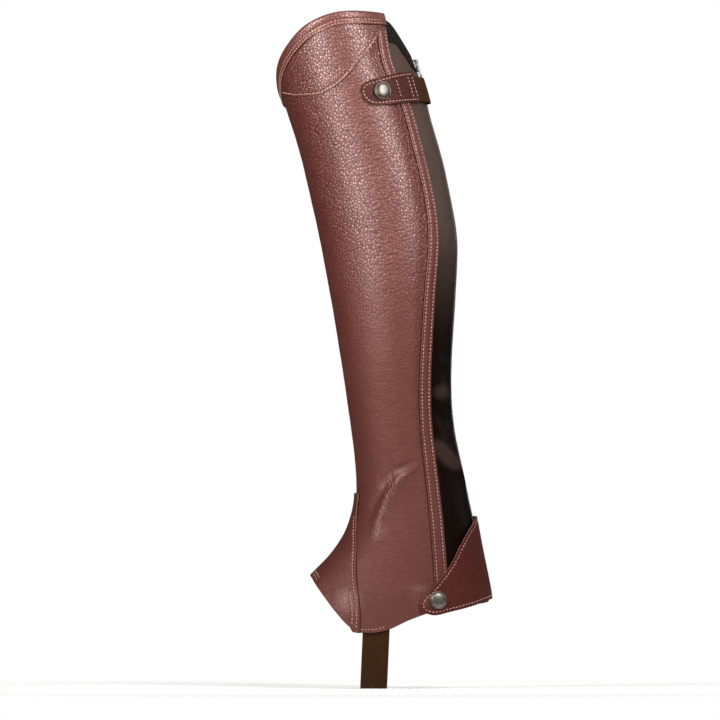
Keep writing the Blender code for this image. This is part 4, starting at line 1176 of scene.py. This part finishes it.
def edge_strip():
    """The flat strip, stitched twice, over the seam of leather and stretch cloth."""
    left = lambda z: SEAM(z) - degrees_for(STRIP_OVERHANG, z)
    right = lambda z: SEAM(z) + degrees_for(STRIP_WIDTH, z)
    width = STRIP_WIDTH + STRIP_OVERHANG
    sewn = (0.0020, -0.0019)
    places = cut(
        stations(width, 0.0008, sewn=sewn), np.linspace(0, 1, 300),
        left=left, right=right, bottom=level(STRIP_BOTTOM_Z), top=level(STRIP_TOP_Z),
    )
    z = np.linspace(STRIP_BOTTOM_Z + 0.001, STRIP_TOP_Z - 0.001, 900)
    rows = [
        Row(left(z) + degrees_for(sewn[0], z), z),
        Row(right(z) + degrees_for(sewn[1], z), z),
    ]
    lift = ON_LEATHER + folds(*places)
    piece = sewn_piece("edge_strip_leather", places, lift, OVERLAY,
                       [STRIP_HIDE, FLESH, RAW_EDGE], rows)
    fixed(piece, "edge_strip")
    lines = [sewn_line(row, ON_LEATHER + OVERLAY + folds(row.turn, row.z)) for row in rows]
    return piece, sew("strip_stitches", lines)


def stretch_panel():
    z_side = lambda z: ZIP(z) + degrees_for(ZIP_OPENING / 2, z)
    places = cut(
        stations(0.036, 0.0014, sewn=(0.0022,)), np.linspace(0, 1, 330),
        left=z_side, right=lambda z: SEAM(z) - degrees_for(BUTT_GAP, z),
        bottom=level(STRETCH_BOTTOM_Z), top=outline(STRETCH_TOP, corners=False),
    )
    upper = np.linspace(-0.283, 0.129, 500)
    row = Row(z_side(upper) + degrees_for(0.0022, upper), upper)
    lift = folds(*places) + folds(*places, SKIN_CREASES) + creased(*places, stretch_wrinkles())
    piece = sewn_piece("stretch_back", places, lift, STRETCH,
                       [STRETCH_CLOTH, STRETCH_CLOTH, HEM_TAPE], [row])
    return fixed(piece, "stretch_panel")


def stretch_hem():
    """The dark band that bounds the top of the stretch cloth, with a rolled upper rim."""
    places = cut(
        stations(0.040, 0.0012), stations(0.016, 0.0009),
        left=lambda z: ZIP(z) + degrees_for(ZIP_OPENING / 2, z),
        right=lambda z: SEAM(z) - degrees_for(2 * STRIP_OVERHANG + SEAM_GAP, z),
        bottom=outline(STRETCH_HEM_LINE), top=outline(STRETCH_TOP, corners=False),
    )
    piece = sewn_piece("stretch_hem_band", places, ON_STRETCH + 0 * places[0], TAPE,
                       [HEM_TAPE, HEM_TAPE, HEM_TAPE])
    return fixed(piece, "stretch_hem")


def zip_tape(name, side, node):
    near, far = CHAIN_WIDTH / 2 + SEAM_GAP, TAPE_REACH
    low, high = (near, far) if side > 0 else (-far, -near)
    top_z = ZIP_TOP_Z if side > 0 else ZIP_TOP_Z - BINDING_RETURN
    places = cut(
        stations(far - near, 0.0016), np.linspace(0, 1, 220),
        left=lambda z: ZIP(z) + degrees_for(low, z),
        right=lambda z: ZIP(z) + degrees_for(high, z),
        bottom=level(ZIP_BOTTOM_Z), top=level(top_z),
    )
    piece = sewn_piece(name, places, -BUTT_GAP - TAPE + 0 * places[0], TAPE, [ZIP_TAPE] * 3)
    return fixed(piece, node)


def frame_at(turn, z, lift):
    """A matrix whose X axis leaves the surface, whose Z axis runs up it, at a place."""
    turn, z = np.array(float(turn)), np.array(float(z))
    out = Vector(normals(turn, z))
    side = out.cross(Vector(slopes(turn, z)[1])).normalized() * -1
    up = out.cross(side).normalized()
    place = Vector(skin(turn, z, lift))
    return Matrix.Translation(place) @ Matrix((out, side, up)).transposed().to_4x4()


def zip_teeth():
    """Metal teeth that clasp in turn from the left and from the right."""
    pitch, tooth, reach, height = 0.0013, 0.00105, 0.0021, CHAIN_HEIGHT + BUTT_GAP + TAPE
    grid = bmesh.new()
    count = int((SLIDER_HEIGHT_ON_LEG - ZIP_BOTTOM_Z) / pitch)
    for i in range(count):
        z = ZIP_BOTTOM_Z + 0.0006 + i * pitch
        matrix = frame_at(ZIP(z), z, -BUTT_GAP - TAPE + height / 2)
        side = 1 if i % 2 else -1
        start, end = -0.0006 * side, side * (reach + 0.0007)
        shape = bmesh.ops.create_cube(grid, size=1.0)["verts"]
        for vertex in shape:
            outer = vertex.co.y * side > 0
            head = 0.62 if outer else 1.0
            vertex.co.x *= height * (0.86 if outer else 1.0)
            vertex.co.z *= tooth * head
            vertex.co.y = end if outer else start
        edges = {edge for vertex in shape for edge in vertex.link_edges}
        made = bmesh.ops.bevel(grid, geom=list(edges), offset=0.00022, segments=1,
                               affect="EDGES", clamp_overlap=True)
        moved = {vertex for face in made["faces"] for vertex in face.verts}
        bmesh.ops.transform(grid, matrix=matrix, verts=list(moved))
    mesh = bpy.data.meshes.new("zip_teeth")
    grid.to_mesh(mesh)
    grid.free()
    mesh.materials.append(NICKEL)
    made = bpy.data.objects.new("zip_teeth", mesh)
    bpy.context.scene.collection.objects.link(made)
    return fixed(made, "zip_chain")


def gusset():
    """The saddle-shaped piece over the instep, lapped on the main panel."""
    hem = outline(mirrored(GUSSET_HEM_OUTER))
    places = cut(
        0.5 - 0.5 * np.cos(np.linspace(0, np.pi, 120)), stations(0.100, 0.0016),
        left=GUSSET_SIDE, right=lambda z: 360 - GUSSET_SIDE(z), bottom=hem,
        top=level(GUSSET_TOP_Z),
    )
    rows = []
    z = np.linspace(-0.3205, -0.2250, 260)
    low = np.linspace(-0.3190, -0.2860, 120)
    for side in (0, 360):
        sign = -1 if side else 1
        outer = inset(GUSSET_SIDE(z), z, 0.0027)
        second = inset(GUSSET_SIDE(low), low, 0.0062)
        for row in (outer, second):
            above = row.z > hem(row.turn) + 0.0012
            rows.append(Row((side + sign * row.turn)[above], row.z[above]))
        tip = np.linspace(152, 177, 60)
        for far in (0.0032, 0.0056):
            row = inset(tip, hem(tip), -far)
            rows.append(Row(side + sign * row.turn, row.z))
    on = ON_LEATHER + SEAM_GAP
    lift = on + folds(*places) + waves(*places, 0.00015)
    piece = sewn_piece("instep_leather", places, lift, OVERLAY, [HIDE, FLESH, RAW_EDGE],
                       rows)
    fixed(piece, "instep_gusset")
    lines = [sewn_line(row, on + OVERLAY + folds(row.turn, row.z)) for row in rows]
    return piece, sew("instep_stitches", lines)


def stands_off(stands):
    return Curve(column(stands, "turn"), column(stands, "lift"), corners=True)


def band_places(span, bottom, top, across, up):
    first, last = span
    spread = 1 - (1 - np.linspace(0, 1, across)) ** 1.8
    side = 0.5 - 0.5 * np.cos(np.pi * np.linspace(0, 1, up))
    rows = 0.35 * np.linspace(0, 1, up) + 0.65 * side
    return cut(
        spread, rows, left=lambda z: first + 0 * z, right=lambda z: last + 0 * z,
        bottom=outline(bottom), top=outline(top),
    )


def border(span, bottom, top, distance, trim):
    """A sewn row that follows a band's top edge, its end and its lower edge."""
    first, last = span
    turn = first + (last - first) * (1 - (1 - np.linspace(0, 1, 500)) ** 2.4)
    over, under = outline(top)(turn), outline(bottom)(turn)
    line_turn = np.concatenate([turn, turn[::-1]])
    line_z = np.concatenate([over, under[::-1]])
    line = dense(np.stack([line_turn * METRES_PER_DEGREE, line_z], -1), 0.0004)
    row = inset(line[:, 0] / METRES_PER_DEGREE, line[:, 1], distance)
    keep = (row.turn > first + trim) & (row.turn < last - 0.2)
    return Row(row.turn[keep], row.z[keep])


def heel_flap():
    """The leather round the heel, closed at the outer side by its rounded tip."""
    places = band_places(FLAP_SPAN, FLAP_HEM, FLAP_TOP, 150, 46)
    row = border(FLAP_SPAN, FLAP_HEM, FLAP_TOP, 0.0026, 1.0)
    stand = stands_off(FLAP_STANDS)
    lift = stand(places[0]) + creased(*places, flap_wrinkles())
    piece = sewn_piece("heel_flap_leather", places, lift, FLAP_LEATHER,
                       [FLAP_HIDE, FLESH, RAW_EDGE], [row])
    fixed(piece, "heel_flap")
    line = sewn_line(row, stand(row.turn) + FLAP_LEATHER)
    return piece, sew("flap_stitches", [line])


def strap_tab():
    places = band_places(TAB_SPAN, TAB_HEM, TAB_TOP, 84, 34)
    top, hem = outline(TAB_TOP), outline(TAB_HEM)
    rows = [border(TAB_SPAN, TAB_HEM, TAB_TOP, 0.0024, 0.5)]
    for turn in (34.0, 39.0, 51.5):
        z = np.linspace(float(hem(turn)) + 0.0028, float(top(turn)) - 0.0028, 60)
        rows.append(Row(turn + 0 * z, z))
    stand = stands_off(TAB_STANDS)
    piece = sewn_piece("strap_tab_leather", places, stand(places[0]), TAB_LEATHER,
                       [TAB_HIDE, FLESH, RAW_EDGE], rows)
    fixed(piece, "strap_tab")
    lines = [sewn_line(row, stand(row.turn) + TAB_LEATHER) for row in rows]
    return piece, sew("tab_stitches", lines)


def strap_elastic():
    places = cut(
        np.linspace(0, 1, 110), stations(0.0204, 0.0010),
        left=lambda z: STRAP_SPAN[0] + 0 * z, right=lambda z: STRAP_SPAN[1] + 0 * z,
        bottom=outline(STRAP_HEM), top=outline(STRAP_TOP),
    )
    lift = stands_off(STRAP_STANDS)(places[0])
    piece = sewn_piece("strap_elastic_band", places, lift, STRETCH, [STRAP_ELASTIC] * 3)
    return fixed(piece, "strap_elastic")


def stirrup():
    """The elastic loop under the foot, from inside one side of the hem to the other."""
    top_z = LOOP_ROUTE[0].z
    lift = -SEAM_GAP - STIRRUP_WALL / 2
    half = abs(float(skin(np.array(LOOP_TURN), np.array(top_z), lift)[1]))
    sole_z = LOOP_BOTTOM_Z + STIRRUP_WALL / 2
    route = [(half - row.inward, row.z) for row in LOOP_ROUTE]
    route += [(LOOP_SOLE_HALF, sole_z), (0.0, sole_z)]
    route = [(-y, z) for y, z in route] + list(reversed(route[:-1]))
    along, fine = np.linspace(0, 1, len(route)), np.linspace(0, 1, 200)
    y = Curve(along, [point[0] for point in route])(fine)
    z = Curve(along, [point[1] for point in route])(fine)
    run = unit(np.stack([np.gradient(y), np.gradient(z)], axis=-1))
    out = np.stack([run[:, 1], -run[:, 0]], axis=-1)
    middle_x = float(surface(np.array(LOOP_TURN), np.array(top_z))[0])
    shares = stations(STIRRUP_WIDTH, 0.0011) - 0.5
    inner, outer = [], []
    for i in range(len(fine)):
        hug = np.clip((z[i] - LOOP_HUG_START_Z) / LOOP_HUG_HEIGHT, 0, 1) * np.sign(y[i])
        at_z = max(z[i], LOWEST_LEATHER_Z)
        level_y = HALF_WIDTH(at_z)
        reach = (BACK(at_z) - FRONT(at_z)) / 2
        x = middle_x + shares * STIRRUP_WIDTH + LOOP_LEAN * (z[i] - top_z)
        cosine = (x - (BACK(at_z) + FRONT(at_z)) / 2) / reach
        shift = hug * (level_y * np.sqrt(1 - cosine**2) * (1 + EGG(at_z) * cosine) - level_y)
        from_edge = (0.5 - np.abs(shares)) * STIRRUP_WIDTH
        half_wall = STIRRUP_WALL / 2 - rounded(from_edge, STIRRUP_WALL * 0.45)
        for rows, sign in ((inner, -1), (outer, 1)):
            rows.append(np.stack([
                x, y[i] + shift + sign * out[i, 0] * half_wall,
                z[i] + sign * out[i, 1] * half_wall,
            ], axis=-1))
    piece = wall("stirrup_elastic", np.array(inner), np.array(outer), [LOOP_ELASTIC] * 3)
    outward(piece)
    return fixed(piece, "stirrup")


def lathe(name, profile, matrix, finish, sides=56):
    """A round solid on the X axis of a frame, from rows of radius and height."""
    points = [(profile[0][1], 0.0, 0.0)]
    for radius, height in profile[1:-1]:
        for i in range(sides):
            angle = 2 * math.pi * i / sides
            points.append((height, radius * math.cos(angle), radius * math.sin(angle)))
    points.append((profile[-1][1], 0.0, 0.0))
    rings = len(profile) - 2
    faces = []
    for i in range(sides):
        j = (i + 1) % sides
        faces.append((0, 1 + j, 1 + i))
        for ring in range(rings - 1):
            a, b = 1 + ring * sides, 1 + (ring + 1) * sides
            faces.append((a + i, a + j, b + j, b + i))
        a = 1 + (rings - 1) * sides
        faces.append((a + i, a + j, len(points) - 1))
    made = add_piece(name, points, faces, [finish], sharp=70)
    made.data.transform(matrix)
    return made


def snap_cap(name, place, lift, node):
    """A domed cap with a turned rim and a shallow step."""
    radius, height = SNAP_RADIUS, SNAP_HEIGHT
    profile = [(0, 0), (radius * 0.90, 0), (radius * 0.97, height * 0.04)]
    profile += [(radius, height * 0.14), (radius, height * 0.24), (radius * 0.97, height * 0.33)]
    profile += [(radius * 0.93, height * 0.37), (radius * 0.915, height * 0.36)]
    for angle in range(6, 88, 9):
        bend = math.radians(angle)
        profile.append((
            radius * 0.90 * math.cos(bend) ** 0.72, height * (0.38 + 0.62 * math.sin(bend)),
        ))
    profile.append((0, height))
    matrix = frame_at(*place, lift + SEAM_GAP)
    return fixed(lathe(name, profile, matrix, OLD_SILVER), node)


def snap_posts():
    """The rivet heads inside keep their solids, with the caps' finish."""
    for node in ("post_upper", "post_lower"):
        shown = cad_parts[node]
        shown.data.materials.clear()
        shown.data.materials.append(OLD_SILVER)


def slider_frame():
    return frame_at(ZIP(SLIDER_HEIGHT_ON_LEG), SLIDER_HEIGHT_ON_LEG, CHAIN_HEIGHT + SEAM_GAP)


def zip_slider():
    """The slider's body, wide where the teeth part, and the bridge that holds the pull."""
    grid = bmesh.new()
    half_length = SLIDER_LENGTH / 2
    outline_points = []
    for i in range(40):
        angle = 2 * math.pi * i / 40
        across, up = math.cos(angle), math.sin(angle)
        wide = SLIDER_WIDTH / 2 * (1.0 - 0.14 * (1 - up) / 2)
        outline_points.append((
            wide * math.copysign(abs(across) ** 0.5, across),
            half_length * math.copysign(abs(up) ** 0.6, up),
        ))
    layers = ((0.0, 0.93), (0.0002, 1.0), (SLIDER_PLATE - 0.0004, 1.0),
              (SLIDER_PLATE - 0.0001, 0.93), (SLIDER_PLATE, 0.82))
    rings = [[grid.verts.new((out, y * size, z * size)) for y, z in outline_points]
             for out, size in layers]
    for lower, upper in zip(rings, rings[1:]):
        for i in range(40):
            j = (i + 1) % 40
            grid.faces.new((lower[i], lower[j], upper[j], upper[i]))
    grid.faces.new(rings[0][::-1])
    grid.faces.new(rings[-1])
    room = PULL_WIRE + 2 * SEAM_GAP
    reach = room / 2 + 0.0003
    arch = []
    for i in range(13):
        bend = math.pi * i / 12
        arch.append((SLIDER_PLATE - 0.0003 + (room + 0.0003) * math.sin(bend) ** 0.5,
                     BRIDGE_RISE - reach * math.cos(bend)))
    sections = []
    for i, (out, z) in enumerate(arch):
        bend = math.pi * i / 12
        grow_out, grow_z = math.sin(bend) * BRIDGE_WALL, -math.cos(bend) * BRIDGE_WALL
        half = BRIDGE_WIDTH / 2
        sections.append([grid.verts.new(point) for point in (
            (out, -half, z), (out, half, z),
            (out + grow_out, half * 0.8, z + grow_z), (out + grow_out, -half * 0.8, z + grow_z),
        )])
    for lower, upper in zip(sections, sections[1:]):
        for i in range(4):
            j = (i + 1) % 4
            grid.faces.new((lower[i], lower[j], upper[j], upper[i]))
    grid.faces.new(sections[0][::-1])
    grid.faces.new(sections[-1])
    bmesh.ops.recalc_face_normals(grid, faces=grid.faces)
    grid.transform(slider_frame())
    mesh = bpy.data.meshes.new("slider_body")
    grid.to_mesh(mesh)
    grid.free()
    mesh.materials.append(NICKEL)
    mesh.shade_smooth()
    mesh.set_sharp_from_angle(angle=math.radians(40))
    made = bpy.data.objects.new("slider_body", mesh)
    bpy.context.scene.collection.objects.link(made)
    return fixed(made, "zip_slider")


def zip_pull():
    """The wire loop that hangs from the bridge."""
    radius = PULL_WIRE / 2
    half, corner = PULL_WIDTH / 2, 0.0016
    line = []
    for centre_y, centre_z, start in (
        (half - corner, -corner, 0), (-half + corner, -corner, 90),
        (-half + corner, -PULL_LENGTH + corner, 180), (half - corner, -PULL_LENGTH + corner, 270),
    ):
        for step in range(7):
            angle = math.radians(start + 15 * step)
            line.append(Vector((0, centre_y + corner * math.cos(angle),
                                centre_z + corner * math.sin(angle))))
    sides, count = 14, len(line)
    points, faces = [], []
    for i, point in enumerate(line):
        ahead = (line[(i + 1) % count] - line[i - 1]).normalized()
        side = Vector((1, 0, 0)).cross(ahead)
        for k in range(sides):
            angle = 2 * math.pi * k / sides
            around = Vector((1, 0, 0)) * math.cos(angle) + side * math.sin(angle)
            points.append(point + around * radius)
    for i in range(count):
        j = (i + 1) % count
        for k in range(sides):
            m = (k + 1) % sides
            faces.append((i * sides + k, i * sides + m, j * sides + m, j * sides + k))
    made = add_piece("pull_loop", [tuple(point) for point in points], faces, [NICKEL],
                     sharp=80)
    pivot_out = SLIDER_PLATE + PULL_REST_GAP + radius
    made.data.transform(slider_frame() @ Matrix.Translation((pivot_out, 0, BRIDGE_RISE)))
    outward(made)
    return fixed(made, "zip_pull", body="pull")


# Lights, floor and camera


def softbox(name, azimuth, elevation, distance, width, height, power, colour=(1, 1, 1),
            spread=180):
    """A soft light that faces the calf. Azimuth 0 is the camera's side."""
    light = bpy.data.lights.new(name, "AREA")
    light.shape, light.size, light.size_y = "RECTANGLE", width, height
    light.energy, light.color, light.spread = power, colour, math.radians(spread)
    made = bpy.data.objects.new(name, light)
    bpy.context.scene.collection.objects.link(made)
    turned, raised = math.radians(azimuth), math.radians(elevation)
    away = Vector((math.sin(turned) * math.cos(raised), -math.cos(turned) * math.cos(raised),
                   math.sin(raised)))
    made.location = away * distance + Vector((0, 0, LIT_HEIGHT))
    made.rotation_euler = away.to_track_quat("Z", "Y").to_euler()


def studio():
    softbox("left_box", -42, 8, 0.72, 0.07, 0.52, 2.0, (1.0, 0.98, 0.96), spread=100)
    softbox("right_box", 30, 22, 0.72, 0.08, 0.50, 1.9, (1.0, 0.98, 0.96), spread=100)
    softbox("top_box", 0, 80, 1.3, 1.0, 1.0, 3.5)
    softbox("side_box", 108, 14, 0.95, 0.16, 0.70, 1.1)
    softbox("back_box", 170, 40, 1.7, 1.4, 1.2, 6)
    world = bpy.data.worlds.new("pale_room")
    world.use_nodes = True
    tree = world.node_tree
    shade = tree.nodes["Background"]
    seen = tree.nodes.new("ShaderNodeBackground")
    path = tree.nodes.new("ShaderNodeLightPath")
    mix = tree.nodes.new("ShaderNodeMixShader")
    shade.inputs[0].default_value = (1.0, 1.0, 1.0, 1.0)
    shade.inputs[1].default_value = 0.03
    seen.inputs[0].default_value = (1.0, 1.0, 1.0, 1.0)
    tree.links.new(path.outputs["Is Camera Ray"], mix.inputs[0])
    tree.links.new(shade.outputs[0], mix.inputs[1])
    tree.links.new(seen.outputs[0], mix.inputs[2])
    tree.links.new(mix.outputs[0], tree.nodes["World Output"].inputs["Surface"])
    bpy.context.scene.world = world
    bpy.context.scene.view_settings.view_transform = "Standard"


def pale_floor():
    """A round floor that fades out into the room."""
    mesh = bpy.data.meshes.new("floor")
    grid = bmesh.new()
    bmesh.ops.create_circle(grid, cap_ends=True, segments=96, radius=2.4)
    grid.to_mesh(mesh)
    grid.free()
    made = bpy.data.objects.new("floor", mesh)
    made.location = (0, 0, FLOOR_Z)
    bpy.context.scene.collection.objects.link(made)
    finish = Finish("floor_paint", roughness=0.9, Specular_IOR_Level=0.0)
    far = finish.node("VectorMath", {"operation": "LENGTH"}, {0: finish.place()}, out=1)
    finish.paint(Base_Color=(0.9, 0.9, 0.9), Alpha=1 - far.eased(0.14, 0.62))
    finish.paint(Emission_Color=(1.0, 1.0, 1.0), Emission_Strength=0.42)
    mesh.materials.append(finish.made)


def camera():
    data = bpy.data.cameras.new("camera")
    data.lens = data.sensor_width * VIEW_DISTANCE / VIEW_WIDTH
    data.clip_end = 100
    made = bpy.data.objects.new("camera", data)
    made.location = Vector(VIEW_MIDDLE) + Vector((0, -VIEW_DISTANCE, 0))
    made.rotation_euler = (math.pi / 2, 0, 0)
    bpy.context.scene.collection.objects.link(made)
    bpy.context.scene.camera = made


def dress():
    """Makes every piece."""
    main, main_thread = main_panel()
    binding, binding_thread = top_binding()
    overlay, yoke_thread = yoke()
    strip, strip_thread = edge_strip()
    stretch = stretch_panel()
    hem = stretch_hem()
    outer_tape = zip_tape("outer_zip_tape", 1, "zip_tape_outer")
    inner_tape = zip_tape("inner_zip_tape", -1, "zip_tape_inner")
    zip_teeth()
    instep, instep_thread = gusset()
    flap, flap_thread = heel_flap()
    tab, tab_thread = strap_tab()
    elastic = strap_elastic()
    loop = stirrup()
    on_tab = float(stands_off(TAB_STANDS)(UPPER_SNAP.turn)) + TAB_LEATHER + TAB_BOW
    on_flap = float(stands_off(FLAP_STANDS)(LOWER_SNAP.turn)) + FLAP_LEATHER
    snap_cap("upper_snap_cap", UPPER_SNAP, on_tab, "snap_upper")
    snap_cap("lower_snap_cap", LOWER_SNAP, on_flap, "snap_lower")
    snap_posts()
    zip_slider()
    zip_pull()


dress()
studio()
pale_floor()
camera()
